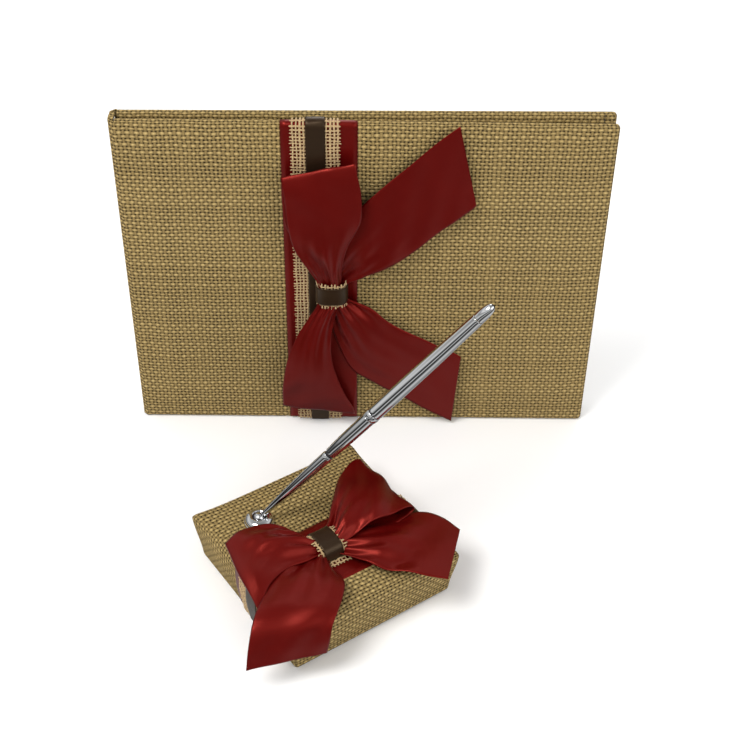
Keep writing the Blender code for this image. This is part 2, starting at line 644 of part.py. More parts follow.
# ---- the whole set -----------------------------------------------------------------------
def build():
    clear_scene()
    front_hinge = empty("front_hinge_axis", None, (-BOOK_WIDTH / 2, FRONT_FACE_Y, 0))
    back_hinge = empty("back_hinge_axis", front_hinge, (0, BOOK_THICKNESS, 0),
                       Matrix.Rotation(math.radians(GAPE_DEG), 4, "Z"))
    build_cover("front", 1, front_hinge)
    build_cover("back", -1, back_hinge)
    build_spine(front_hinge)
    build_leaves(front_hinge)
    build_book_bands(None)
    book_bow = empty("book_bow_frame", None, (BOOK_KNOT_X, FRONT_FACE_Y - BOW_BASE, BOOK_KNOT_HEIGHT),
                     Matrix.Rotation(math.radians(90), 4, "X"))
    build_bow("book_bow", book_bow, BOOK_LOOPS, BOOK_TAILS)

    stand = empty("stand_frame", None, (*STAND_CENTRE, 0),
                  Matrix.Rotation(math.radians(STAND_TURN_DEG), 4, "Z"))
    build_stand(stand)
    build_stand_bands(stand)
    stand_bow = empty("stand_bow_frame", stand, (STAND_KNOT_U, BAND_V, STAND_HEIGHT + BOW_BASE),
                      Matrix.Rotation(math.radians(-90), 4, "Z"))
    build_bow("stand_bow", stand_bow, STAND_LOOPS, STAND_TAILS)
    build_pen(build_swivel(stand))


build()
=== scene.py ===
# %% [markdown]
# # A burlap guest book with its pen and pen stand
# The real set is three things: a guest book bound in burlap, a padded block that holds a pen,
# and a chrome twist pen. Red satin bows are tied on the book and on the block.
# Everything here is built in metres round a finished mechanical model, so each piece only needs
# to know which body it rides on. Soft things (cloth, ribbon, paper) are made new in mesh code,
# and hard hidden parts keep their mechanical shape and get better materials.

# %% Load the mechanical model as a fixed frame
import json
import math

import bpy
import numpy as np
from mathutils import Matrix, Vector


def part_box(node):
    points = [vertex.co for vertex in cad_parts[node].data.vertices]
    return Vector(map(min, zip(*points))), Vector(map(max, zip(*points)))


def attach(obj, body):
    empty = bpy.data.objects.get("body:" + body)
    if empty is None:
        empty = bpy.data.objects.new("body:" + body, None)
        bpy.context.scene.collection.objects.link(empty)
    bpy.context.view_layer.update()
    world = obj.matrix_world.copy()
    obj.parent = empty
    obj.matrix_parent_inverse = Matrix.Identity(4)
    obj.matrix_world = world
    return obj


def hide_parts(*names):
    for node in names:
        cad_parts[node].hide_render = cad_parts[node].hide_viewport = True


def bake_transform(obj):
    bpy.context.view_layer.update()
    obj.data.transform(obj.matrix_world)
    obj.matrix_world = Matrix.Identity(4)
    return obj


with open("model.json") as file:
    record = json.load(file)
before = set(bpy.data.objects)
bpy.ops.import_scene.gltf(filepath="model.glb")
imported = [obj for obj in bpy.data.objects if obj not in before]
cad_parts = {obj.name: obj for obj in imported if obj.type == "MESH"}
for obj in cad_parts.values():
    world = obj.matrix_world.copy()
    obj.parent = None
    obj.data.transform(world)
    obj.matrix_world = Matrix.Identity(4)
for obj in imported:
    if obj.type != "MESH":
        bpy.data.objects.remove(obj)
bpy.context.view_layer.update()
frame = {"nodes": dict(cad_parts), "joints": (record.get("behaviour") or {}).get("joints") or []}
JOINTS = {joint["name"]: joint for joint in frame["joints"]}

# %% [markdown]
# ## Camera
# A camera is only a place and three directions. The set is seen from above the pen stand, looking
# down at the book behind it, with a slight roll. Writing the matrix from the three directions is
# clearer than guessing Euler angles.

# %% Camera
CAMERA_PLACE = (0.0036, -0.5961, 0.5223)
CAMERA_DOWN, CAMERA_YAW, CAMERA_ROLL = (math.radians(a) for a in (39.55, 0.31, 0.77))
SENSOR_MM, LENS_MM = 36.0, 66.15


def camera_matrix():
    forward = Vector((math.sin(CAMERA_YAW) * math.cos(CAMERA_DOWN),
                      math.cos(CAMERA_YAW) * math.cos(CAMERA_DOWN), -math.sin(CAMERA_DOWN)))
    level = forward.cross(Vector((0, 0, 1))).normalized()
    above = level.cross(forward)
    right = level * math.cos(CAMERA_ROLL) + above * math.sin(CAMERA_ROLL)
    top = above * math.cos(CAMERA_ROLL) - level * math.sin(CAMERA_ROLL)
    turn = Matrix((right, top, -forward)).transposed().to_4x4()
    return Matrix.Translation(CAMERA_PLACE) @ turn


lens = bpy.data.cameras.new("camera")
lens.sensor_width, lens.lens, lens.clip_start = SENSOR_MM, LENS_MM, 0.01
camera = bpy.data.objects.new("camera", lens)
bpy.context.scene.collection.objects.link(camera)
camera.matrix_world = camera_matrix()
bpy.context.scene.camera = camera
bpy.context.scene.view_settings.view_transform = "Standard"

# %% [markdown]
# ## Light and floor
# Product pictures on white use large soft lamps: a big key above and in front, a weaker fill from
# the side, and a bright room. Chrome needs something dark to mirror or it looks like paper, so
# glossy rays see a room with darker walls than the one that lights the cloth.

# %% Lamps
def area_lamp(name, place, target, size, watts, colour=(1, 1, 1)):
    data = bpy.data.lights.new(name, "AREA")
    data.shape, data.size, data.energy, data.color = "SQUARE", size, watts, colour
    lamp = bpy.data.objects.new(name, data)
    bpy.context.scene.collection.objects.link(lamp)
    lamp.location = place
    lamp.rotation_euler = (Vector(target) - Vector(place)).to_track_quat("-Z", "Y").to_euler()
    return lamp


AIM = (0.0, -0.05, 0.06)
area_lamp("key", (-0.55, -0.55, 1.25), AIM, 0.55, 13.0, (1.0, 0.985, 0.96))
area_lamp("fill", (1.1, -0.9, 0.7), AIM, 0.9, 5.0)
area_lamp("back", (0.2, 1.1, 0.9), AIM, 0.8, 5.0)


# %% A bright room, with darker walls for reflections only
def link(tree, source, target):
    tree.links.new(source, target)


def bright_room():
    world = bpy.data.worlds.new("room")
    world.use_nodes = True
    tree = world.node_tree
    tree.nodes.clear()
    out = tree.nodes.new("ShaderNodeOutputWorld")
    mixed = tree.nodes.new("ShaderNodeMixShader")
    plain = tree.nodes.new("ShaderNodeBackground")
    plain.inputs["Color"].default_value = (1, 1, 1, 1)
    plain.inputs["Strength"].default_value = 0.80
    mirrored = tree.nodes.new("ShaderNodeBackground")
    ramp = tree.nodes.new("ShaderNodeValToRGB")
    shades = ((0.0, 0.10), (0.18, 0.80), (0.30, 0.05), (0.40, 0.05), (0.45, 0.85), (0.50, 0.04), (0.56, 0.03), (0.64, 0.85), (0.70, 0.30),
              (0.76, 0.95), (0.86, 0.65), (1.0, 0.30))
    while len(ramp.color_ramp.elements) < len(shades):
        ramp.color_ramp.elements.new(0.5)
    for element, (place, shade) in zip(ramp.color_ramp.elements, shades):
        element.position, element.color = place, (shade, shade, shade * 0.98, 1)
    coordinates = tree.nodes.new("ShaderNodeTexCoord")
    split = tree.nodes.new("ShaderNodeSeparateXYZ")
    half = tree.nodes.new("ShaderNodeMath")
    half.operation, half.inputs[1].default_value, half.inputs[2].default_value = "MULTIPLY_ADD", 0.5, 0.5
    rays = tree.nodes.new("ShaderNodeLightPath")
    link(tree, coordinates.outputs["Generated"], split.inputs[0])
    link(tree, split.outputs["Z"], half.inputs[0])
    link(tree, half.outputs[0], ramp.inputs["Fac"])
    link(tree, ramp.outputs["Color"], mirrored.inputs["Color"])
    link(tree, rays.outputs["Is Glossy Ray"], mixed.inputs["Fac"])
    link(tree, plain.outputs[0], mixed.inputs[1])
    link(tree, mirrored.outputs[0], mixed.inputs[2])
    link(tree, mixed.outputs[0], out.inputs["Surface"])
    bpy.context.scene.world = world


bright_room()

# %% [markdown]
# ## Shader groups
# Burlap, satin, paper and metal each repeat over many pieces. Their patterns are written once as
# node groups that hand out heights, masks and tones, and every material then mixes its own colours.
# The helper below lets node maths read like a line of arithmetic.


# %% Helpers for node maths
def new_group(name, inputs, outputs):
    group = bpy.data.node_groups.new(name, "ShaderNodeTree")
    for label, kind, value in inputs:
        socket = group.interface.new_socket(label, in_out="INPUT", socket_type=kind)
        if value is not None:
            socket.default_value = value
    for label, kind in outputs:
        group.interface.new_socket(label, in_out="OUTPUT", socket_type=kind)
    return group, group.nodes.new("NodeGroupInput"), group.nodes.new("NodeGroupOutput")


def calc(tree, operation, *values):
    """One Math node; each value is a number or another node's output."""
    node = tree.nodes.new("ShaderNodeMath")
    node.operation = operation
    for socket, value in zip(node.inputs, values):
        if isinstance(value, (int, float)):
            socket.default_value = value
        else:
            link(tree, value, socket)
    return node.outputs[0]


def noise(tree, vector, scale, detail=2.0, roughness=0.5, out="Fac"):
    node = tree.nodes.new("ShaderNodeTexNoise")
    node.inputs["Scale"].default_value = scale
    node.inputs["Detail"].default_value = detail
    node.inputs["Roughness"].default_value = roughness
    if vector is not None:
        link(tree, vector, node.inputs["Vector"])
    return node.outputs[out]


def random_of(tree, value):
    node = tree.nodes.new("ShaderNodeTexWhiteNoise")
    node.noise_dimensions = "1D"
    link(tree, value, node.inputs["W"])
    return node.outputs["Value"]


def mix_colour(tree, amount, first, second):
    node = tree.nodes.new("ShaderNodeMix")
    node.data_type = "RGBA"
    for socket, value in ((node.inputs[0], amount), (node.inputs[6], first), (node.inputs[7], second)):
        if isinstance(value, (int, float)):
            socket.default_value = value
        elif isinstance(value, tuple):
            socket.default_value = (*value, 1.0)
        else:
            link(tree, value, socket)
    return node.outputs[2]


# %% [markdown]
# Plain weave: two sets of threads cross at right angles and swap over and under at each crossing.
# Each thread is round across its width and rises and falls along its length like a cosine. The
# upper of the two heights wins, and where neither reaches there is a hole. A slow wobble bends the
# rows, and each thread gets its own thickness and tone, as spun jute has.


# %% The plain weave group
def weave_group():
    group, given, made = new_group(
        "plain_weave",
        [("Vector", "NodeSocketVector", None), ("Pitch", "NodeSocketFloat", 0.0018),
         ("Thread", "NodeSocketFloat", 0.40), ("Wobble", "NodeSocketFloat", 0.22)],
        [("Height", "NodeSocketFloat"), ("Hole", "NodeSocketFloat"), ("Tone", "NodeSocketFloat"),
         ("Weft", "NodeSocketFloat")])
    scaled = group.nodes.new("ShaderNodeVectorMath")
    scaled.operation = "DIVIDE"
    link(group, given.outputs["Vector"], scaled.inputs[0])
    link(group, given.outputs["Pitch"], scaled.inputs[1])
    split = group.nodes.new("ShaderNodeSeparateXYZ")
    link(group, scaled.outputs[0], split.inputs[0])
    wander = []
    for scale, shift in ((0.16, 0.0), (0.16, 37.0)):
        moved = group.nodes.new("ShaderNodeVectorMath")
        moved.operation = "ADD"
        link(group, scaled.outputs[0], moved.inputs[0])
        moved.inputs[1].default_value = (shift, shift * 0.7, shift)
        slow = calc(group, "SUBTRACT", noise(group, moved.outputs[0], scale, 1.0), 0.5)
        quick = calc(group, "SUBTRACT", noise(group, moved.outputs[0], 0.9, 1.0), 0.5)
        both = calc(group, "ADD", calc(group, "MULTIPLY", slow, 3.4), quick)
        wander.append(calc(group, "MULTIPLY", both, given.outputs["Wobble"]))
    axes = [calc(group, "ADD", split.outputs[axis], wander[axis]) for axis in (0, 1)]
    cells = [calc(group, "FLOOR", axis) for axis in axes]
    inside = [calc(group, "SUBTRACT", calc(group, "SUBTRACT", axis, cell), 0.5)
              for axis, cell in zip(axes, cells)]
    heights, covers, tones = [], [], []
    for own, other, sign in ((0, 1, 1.0), (1, 0, -1.0)):
        tone = random_of(group, calc(group, "ADD", cells[own], 100.0 * sign))
        width = calc(group, "MULTIPLY", given.outputs["Thread"],
                     calc(group, "MULTIPLY_ADD", tone, 0.36, 0.82))
        across = calc(group, "DIVIDE", inside[own], width)
        round_off = calc(group, "SUBTRACT", 1.0, calc(group, "MULTIPLY", across, across))
        cover = calc(group, "GREATER_THAN", round_off, 0.0)
        crown = calc(group, "SQRT", calc(group, "MAXIMUM", round_off, 0.0))
        phase = calc(group, "MULTIPLY", calc(group, "ADD", calc(group, "SUBTRACT", axes[other], 0.5),
                                             cells[own]), math.pi)
        swing = calc(group, "MULTIPLY", calc(group, "COSINE", phase), 0.5 * sign)
        height = calc(group, "ADD", calc(group, "MULTIPLY", crown, 0.9), swing)
        heights.append(calc(group, "MULTIPLY_ADD", cover, calc(group, "ADD", height, 2.0), -2.0))
        covers.append(cover)
        tones.append(tone)
    above = calc(group, "GREATER_THAN", heights[0], heights[1])
    top = calc(group, "MAXIMUM", heights[0], heights[1])
    link(group, calc(group, "MAXIMUM", top, -0.9), made.inputs["Height"])
    any_thread = calc(group, "MAXIMUM", covers[0], covers[1])
    link(group, calc(group, "SUBTRACT", 1.0, any_thread), made.inputs["Hole"])
    picked = calc(group, "ADD", calc(group, "MULTIPLY", above, tones[0]),
                  calc(group, "MULTIPLY", calc(group, "SUBTRACT", 1.0, above), tones[1]))
    link(group, picked, made.inputs["Tone"])
    link(group, calc(group, "SUBTRACT", 1.0, above), made.inputs["Weft"])
    return group


WEAVE = weave_group()


# %% Fibre, satin rib and smudge groups
def fibre_group():
    """Short fibres and a slow blotchy tone, for paper, board, felt, batting and spun threads."""
    group, given, made = new_group(
        "fibre", [("Vector", "NodeSocketVector", None), ("Fine", "NodeSocketFloat", 2500.0),
                  ("Slow", "NodeSocketFloat", 60.0)],
        [("Fibre", "NodeSocketFloat"), ("Blotch", "NodeSocketFloat")])
    for label, scale, detail in (("Fibre", "Fine", 4.0), ("Blotch", "Slow", 3.0)):
        node = group.nodes.new("ShaderNodeTexNoise")
        node.inputs["Detail"].default_value = detail
        link(group, given.outputs["Vector"], node.inputs["Vector"])
        link(group, given.outputs[scale], node.inputs["Scale"])
        link(group, node.outputs["Fac"], made.inputs[label])
    return group


def satin_group():
    """Fine ribs across the ribbon and a slow change of tone along it. Vector is (across, along)."""
    group, given, made = new_group(
        "satin_rib", [("Vector", "NodeSocketVector", None), ("Rib", "NodeSocketFloat", 0.00032)],
        [("Height", "NodeSocketFloat"), ("Tone", "NodeSocketFloat")])
    split = group.nodes.new("ShaderNodeSeparateXYZ")
    link(group, given.outputs["Vector"], split.inputs[0])
    turns = calc(group, "MULTIPLY", calc(group, "DIVIDE", split.outputs["Y"], given.outputs["Rib"]),
                 2 * math.pi)
    rib = calc(group, "MULTIPLY_ADD", calc(group, "COSINE", turns), 0.5, 0.5)
    stretched = group.nodes.new("ShaderNodeVectorMath")
    stretched.operation = "MULTIPLY"
    stretched.inputs[1].default_value = (40.0, 1400.0, 1.0)
    link(group, given.outputs["Vector"], stretched.inputs[0])
    streak = noise(group, stretched.outputs[0], 1.0, 2.0)
    link(group, calc(group, "ADD", calc(group, "MULTIPLY", rib, 0.5), streak), made.inputs["Height"])
    slow = noise(group, given.outputs["Vector"], 55.0, 2.0)
    link(group, calc(group, "ADD", calc(group, "MULTIPLY", streak, 0.4),
                     calc(group, "MULTIPLY", slow, 0.6)), made.inputs["Tone"])
    return group


def smudge_group():
    """Soft finger smudges and fine hairline marks, for polished metal."""
    group, given, made = new_group(
        "smudge", [("Vector", "NodeSocketVector", None), ("Low", "NodeSocketFloat", 0.04),
                   ("High", "NodeSocketFloat", 0.16)],
        [("Roughness", "NodeSocketFloat"), ("Mark", "NodeSocketFloat")])
    slow = noise(group, given.outputs["Vector"], 120.0, 3.0)
    stretched = group.nodes.new("ShaderNodeVectorMath")
    stretched.operation = "MULTIPLY"
    stretched.inputs[1].default_value = (900.0, 900.0, 90.0)
    link(group, given.outputs["Vector"], stretched.inputs[0])
    fine = noise(group, stretched.outputs[0], 1.0, 2.0)
    amount = calc(group, "POWER", slow, 2.2)
    span = calc(group, "SUBTRACT", given.outputs["High"], given.outputs["Low"])
    rough = calc(group, "ADD", given.outputs["Low"], calc(group, "MULTIPLY", amount, span))
    link(group, rough, made.inputs["Roughness"])
    link(group, fine, made.inputs["Mark"])
    return group


FIBRE, SATIN, SMUDGE = fibre_group(), satin_group(), smudge_group()

# %% [markdown]
# ## Materials
# Each material is a Principled shader fed by one or two of the groups. Cloth that has its own
# unfolded map reads that map, so the threads follow the folds. Solid parts read object space.


# %% Start of every material
def start_material(name, **sockets):
    material = bpy.data.materials.new(name)
    material.use_nodes = True
    tree = material.node_tree
    shader = tree.nodes["Principled BSDF"]
    for label, value in sockets.items():
        shader.inputs[label.replace("_", " ")].default_value = value
    return material, tree, shader


def use_group(tree, group, vector, **values):
    node = tree.nodes.new("ShaderNodeGroup")
    node.node_tree = group
    link(tree, vector, node.inputs["Vector"])
    for label, value in values.items():
        node.inputs[label].default_value = value
    return node.outputs


def cloth_map(tree, name):
    node = tree.nodes.new("ShaderNodeUVMap")
    node.uv_map = name
    return node.outputs["UV"]


def own_space(tree):
    return tree.nodes.new("ShaderNodeTexCoord").outputs["Object"]


def add_bump(tree, shader, height, distance, strength=1.0):
    node = tree.nodes.new("ShaderNodeBump")
    node.inputs["Distance"].default_value = distance
    node.inputs["Strength"].default_value = strength
    link(tree, height, node.inputs["Height"])
    link(tree, node.outputs["Normal"], shader.inputs["Normal"])


# %% Burlap cloth
CLOTH_PITCH = 0.0021


def burlap_material(name, light, dark, hole_shade, pitch=CLOTH_PITCH, thread=0.41):
    material, tree, shader = start_material(name, Roughness=0.85)
    shader.inputs["Specular IOR Level"].default_value = 0.15
    where = cloth_map(tree, "cloth")
    weave = use_group(tree, WEAVE, where, Pitch=pitch, Thread=thread, Wobble=0.20)
    fibre = use_group(tree, FIBRE, where, Fine=3800.0, Slow=26.0)
    body = mix_colour(tree, calc(tree, "MULTIPLY_ADD", weave["Tone"], 0.40, 0.35), dark, light)
    # Painted shade and highlight: lit follows each thread's height, so dips and thread edges are darkened down
    # to a fifth of the dark tone while crests keep the full colour, standing in for the weave's own shadowing.
    lit = calc(tree, "MULTIPLY_ADD", weave["Height"], 0.66, 0.07)
    lit = calc(tree, "MINIMUM", calc(tree, "POWER", calc(tree, "MAXIMUM", lit, 0.0), 1.9), 1.0)
    body = mix_colour(tree, weave["Weft"], tuple(c * 0.62 for c in dark), body)
    height_shaded = mix_colour(tree, lit, tuple(c * 0.20 for c in dark), body)
    flecked = mix_colour(tree, calc(tree, "MULTIPLY", calc(tree, "POWER", fibre["Fibre"], 4.0), 0.9),
                         height_shaded, tuple(min(1.0, c * 1.5) for c in light))
    blotched = mix_colour(tree, calc(tree, "MULTIPLY", fibre["Blotch"], 0.35), flecked, dark)
    # Painted shade: the holes between threads take a dark colour standing in for the shadow inside each gap.
    colour = mix_colour(tree, weave["Hole"], blotched, hole_shade)
    link(tree, colour, shader.inputs["Base Color"])
    height = calc(tree, "ADD", calc(tree, "MULTIPLY", weave["Height"], 1.0),
                  calc(tree, "MULTIPLY", fibre["Fibre"], 0.35))
    add_bump(tree, shader, height, pitch * 0.33)
    return material


# Colours: light and dark thread tones, then the painted shade shown in the holes.
BURLAP = burlap_material("burlap_cloth", (0.60, 0.44, 0.185), (0.38, 0.262, 0.096),
                         (0.018, 0.011, 0.004), CLOTH_PITCH, 0.36)
MULL = burlap_material("mull_gauze", (0.80, 0.77, 0.66), (0.62, 0.58, 0.47), (0.30, 0.26, 0.20),
                       0.0009, 0.30)


# %% Spun jute threads, satin, paper, board, felt, wood, plastic and metal
def fibrous_material(name, light, dark, fine, slow, bump, roughness=0.9, uv=None, sheen=0.0):
    material, tree, shader = start_material(name, Roughness=roughness)
    shader.inputs["Sheen Weight"].default_value = sheen
    where = cloth_map(tree, uv) if uv else own_space(tree)
    fibre = use_group(tree, FIBRE, where, Fine=fine, Slow=slow)
    colour = mix_colour(tree, fibre["Blotch"], dark, light)
    colour = mix_colour(tree, calc(tree, "MULTIPLY", calc(tree, "POWER", fibre["Fibre"], 3.0), 1.6),
                        colour, tuple(min(1.0, c * 1.35) for c in light))
    link(tree, colour, shader.inputs["Base Color"])
    add_bump(tree, shader, fibre["Fibre"], bump)
    return material


def satin_material(name, deep, bright, roughness, level, gleam):
    material, tree, shader = start_material(name, Roughness=roughness)
    shader.inputs["Sheen Weight"].default_value = 0.05
    shader.inputs["Sheen Tint"].default_value = (*bright, 1.0)
    shader.inputs["Specular IOR Level"].default_value = level
    shader.inputs["Specular Tint"].default_value = (*gleam, 1.0)
    shader.inputs["Anisotropic"].default_value = 0.55
    satin = use_group(tree, SATIN, cloth_map(tree, "cloth"), Rib=0.00030)
    link(tree, mix_colour(tree, satin["Tone"], deep, bright), shader.inputs["Base Color"])
    add_bump(tree, shader, satin["Height"], 0.00004, 0.6)
    return material


def metal_material(name, colour, low, high, tint=None):
    material, tree, shader = start_material(name, Metallic=1.0)
    smudge = use_group(tree, SMUDGE, own_space(tree), Low=low, High=high)
    link(tree, smudge["Roughness"], shader.inputs["Roughness"])
    shade = mix_colour(tree, calc(tree, "MULTIPLY", smudge["Mark"], 0.25), colour,
                       tint or tuple(c * 0.8 for c in colour))
    link(tree, shade, shader.inputs["Base Color"])
    return material


THREAD = fibrous_material("jute_thread", (0.46, 0.32, 0.16), (0.26, 0.165, 0.07), 2600.0, 90.0,
                          0.00016, uv="cloth", sheen=0.2)
RED = satin_material("red_satin", (0.056, 0.0012, 0.0010), (0.092, 0.0022, 0.0018), 0.30, 1.0,
                     (1.0, 0.13, 0.10))
BROWN = satin_material("brown_satin", (0.012, 0.006, 0.003), (0.024, 0.013, 0.007), 0.30, 0.5,
                       (0.8, 0.58, 0.38))
PAPER = fibrous_material("page_paper", (0.86, 0.83, 0.74), (0.80, 0.76, 0.66), 5200.0, 30.0, 0.00002)
BOARD = fibrous_material("grey_board", (0.43, 0.41, 0.37), (0.33, 0.31, 0.28), 2600.0, 70.0, 0.00008)
BATTING = fibrous_material("batting", (0.88, 0.87, 0.83), (0.76, 0.75, 0.70), 1500.0, 160.0, 0.0005,
                           0.95, sheen=0.5)
FELT = fibrous_material("foot_felt", (0.12, 0.09, 0.06), (0.06, 0.045, 0.03), 3800.0, 180.0, 0.00025,
                        0.98, sheen=0.4)
NYLON = fibrous_material("black_nylon", (0.022, 0.022, 0.024), (0.012, 0.012, 0.013), 3000.0, 200.0,
                         0.00001, 0.45)
REFILL = fibrous_material("refill_plastic", (0.05, 0.06, 0.16), (0.03, 0.035, 0.11), 2000.0, 200.0,
                          0.00001, 0.3)
CHROME = metal_material("chrome", (0.68, 0.69, 0.71), 0.035, 0.12)
STEEL = metal_material("steel", (0.56, 0.56, 0.57), 0.22, 0.40)
BRASS = metal_material("brass", (0.78, 0.57, 0.26), 0.18, 0.34, (0.55, 0.38, 0.16))


# %% Wood and striped silk, each with its own simple pattern
def wood_material():
    """Cut pine: rings seen as long bands, with pores along the grain."""
    material, tree, shader = start_material("block_wood", Roughness=0.7)
    place = own_space(tree)
    stretched = tree.nodes.new("ShaderNodeVectorMath")
    stretched.operation = "MULTIPLY"
    stretched.inputs[1].default_value = (12.0, 140.0, 140.0)
    link(tree, place, stretched.inputs[0])
    rings = noise(tree, stretched.outputs[0], 1.0, 4.0, 0.6)
    fibre = use_group(tree, FIBRE, stretched.outputs[0], Fine=9.0, Slow=2.0)
    colour = mix_colour(tree, rings, (0.50, 0.33, 0.17), (0.70, 0.52, 0.31))
    colour = mix_colour(tree, calc(tree, "POWER", fibre["Fibre"], 3.0), colour, (0.34, 0.21, 0.10))
    link(tree, colour, shader.inputs["Base Color"])
    add_bump(tree, shader, fibre["Fibre"], 0.00012)
    return material


def headband_material():
    """Silk wound round a cord in two colours."""
    material, tree, shader = start_material("headband_silk", Roughness=0.55)
    shader.inputs["Sheen Weight"].default_value = 0.3
    split = tree.nodes.new("ShaderNodeSeparateXYZ")
    link(tree, cloth_map(tree, "cloth"), split.inputs[0])
    turns = calc(tree, "FRACT", calc(tree, "DIVIDE", split.outputs["Y"], 0.0014))
    stripe = calc(tree, "GREATER_THAN", turns, 0.5)
    colour = mix_colour(tree, stripe, (0.62, 0.55, 0.40), (0.30, 0.20, 0.10))
    link(tree, colour, shader.inputs["Base Color"])
    fine = use_group(tree, FIBRE, own_space(tree), Fine=5000.0, Slow=300.0)
    add_bump(tree, shader, fine["Fibre"], 0.00006)
    return material


WOOD, HEADBAND = wood_material(), headband_material()
print("materials:", len(bpy.data.materials))

# %% [markdown]
# ## Turning points into pieces
# Every cloth piece below is worked out as a grid of points first, because a grid is easy to bend
# and easy to unfold. `make_piece` turns points and quads into one named object on its body, with
# an unfolded map called "cloth" that is measured in metres so that a thread keeps its real size.


# %% Build a piece
def grid_quads(rows, columns, offset=0):
    index = np.arange(rows * columns).reshape(rows, columns) + offset
    corners = (index[:-1, :-1], index[:-1, 1:], index[1:, 1:], index[1:, :-1])
    return np.stack(corners, -1).reshape(-1, 4)


def make_piece(name, points, quads, flat, material, body=None, stands_for=(), thickness=0.0,
               inward=-1.0):
    """flat holds an (across, along) pair for each point, or for each corner of each quad."""
    mesh = bpy.data.meshes.new(name)
    points, quads, flat = np.asarray(points, float), np.asarray(quads, int), np.asarray(flat, np.float32)
    mesh.from_pydata(points.tolist(), [], quads.tolist())
    layer = mesh.uv_layers.new(name="cloth")
    corners = flat.reshape(-1, 2) if flat.ndim == 3 else flat[quads.ravel()]
    layer.uv.foreach_set("vector", corners.ravel())
    mesh.polygons.foreach_set("use_smooth", np.ones(len(quads), bool))
    mesh.materials.append(material)
    mesh.update()
    piece = bpy.data.objects.new(name, mesh)
    bpy.context.scene.collection.objects.link(piece)
    if thickness:
        solid = piece.modifiers.new("thickness", "SOLIDIFY")
        solid.thickness, solid.offset = thickness, inward
        solid.use_even_offset = False
    if body:
        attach(piece, body)
    if stands_for:
        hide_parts(*stands_for)
    return piece


def ease(x):
    x = np.clip(x, 0, 1)
    return x * x * (3 - 2 * x)


# %% [markdown]
# ## The covers
# A cover is a board with a thin layer of padding, and burlap pulled round it and glued on the
# inside. The cloth of each cover also runs over the joint and half of the spine, so one sheet
# crosses the hinge. The shape starts as a plain box surface. Each point is then
# pushed to a rounded edge, and the padding swells the middle and sinks under the tight ribbons.

# %% Cover sizes, read from the mechanical model
FRONT_LOW, FRONT_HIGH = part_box("front_burlap")
SPINE_LOW, SPINE_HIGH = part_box("spine_burlap")
FRONT_PIN = Vector(JOINTS["front_joint"]["pos_m"])
BACK_PIN = Vector(JOINTS["back_joint"]["pos_m"])
COVER_THICK = FRONT_HIGH.y - FRONT_LOW.y
COVER_WIDE, COVER_TALL = FRONT_HIGH.x - FRONT_PIN.x, FRONT_HIGH.z
HINGE_GAP = FRONT_LOW.x - FRONT_PIN.x
SPINE_HALF = (BACK_PIN.y - FRONT_PIN.y) / 2
TURN_IN = 0.006
CLOTH_THICK = 0.0006
EDGE_RADIUS = 0.0021
PADDING_RISE = 0.0011
BAND_LOW, BAND_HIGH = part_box("book_wide_ribbon")
BAND_MIDDLE = (BAND_LOW.x + BAND_HIGH.x) / 2 - FRONT_PIN.x
inner_low, inner_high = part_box("back_pastedown")
GAPE = math.asin((inner_high.y - inner_low.y - 0.0003) / (inner_high.x - inner_low.x))
print(f"cover {COVER_WIDE * 1000:.1f} x {COVER_TALL * 1000:.1f} x {COVER_THICK * 1000:.1f} mm")


def front_place(local):
    """(from the hinge, out of the cover, up) to the row frame."""
    local = np.asarray(local, float)
    return np.stack([FRONT_PIN.x + local[..., 0], FRONT_PIN.y - local[..., 1], local[..., 2]], -1)


def back_place(local):
    local = np.asarray(local, float)
    along, out = local[..., 0], local[..., 1]
    return np.stack([BACK_PIN.x + along * math.cos(GAPE) - out * math.sin(GAPE),
                     BACK_PIN.y + along * math.sin(GAPE) + out * math.cos(GAPE), local[..., 2]], -1)


# %% The soft shape of a cover
def slow_swell(a, b, seed):
    """A gentle unevenness from a few long waves."""
    dice = np.random.default_rng(seed)
    total = np.zeros_like(a)
    for _ in range(7):
        direction, length, shift = dice.uniform(0, math.tau), dice.uniform(0.02, 0.07), dice.uniform(0, math.tau)
        total += np.sin(math.tau * (a * math.cos(direction) + b * math.sin(direction)) / length + shift)
    return total / 7


def cover_rise(x, z, ribbon):
    edge = np.minimum.reduce([x - HINGE_GAP, COVER_WIDE - x, z, COVER_TALL - z])
    soft = 1 - np.exp(-(np.clip(edge, 0, None) / 0.010) ** 2)
    rise = PADDING_RISE * soft + 0.00022 * slow_swell(x, z, 3 + ribbon) * soft
    if ribbon:
        rise = rise - 0.00045 * soft * np.exp(-((x - BAND_MIDDLE) / 0.021) ** 4)
    return rise


def cover_shape(local, ribbon=True):
    """Rounds the edges of the box surface and swells its outer face."""
    local = np.asarray(local, float)
    low = np.array([-1.0, -COVER_THICK, 0.0])
    high = np.array([COVER_WIDE, 0.0, COVER_TALL])
    core = np.clip(local, low + EDGE_RADIUS, high - EDGE_RADIUS)
    away = local - core
    reach = np.linalg.norm(away, axis=-1, keepdims=True)
    shaped = core + away * np.where(reach > 1e-9, EDGE_RADIUS / np.maximum(reach, 1e-9), 1.0)
    outer = ease((local[..., 1] + COVER_THICK) / COVER_THICK)
    shaped[..., 1] += cover_rise(local[..., 0], local[..., 2], ribbon) * outer
    return shaped


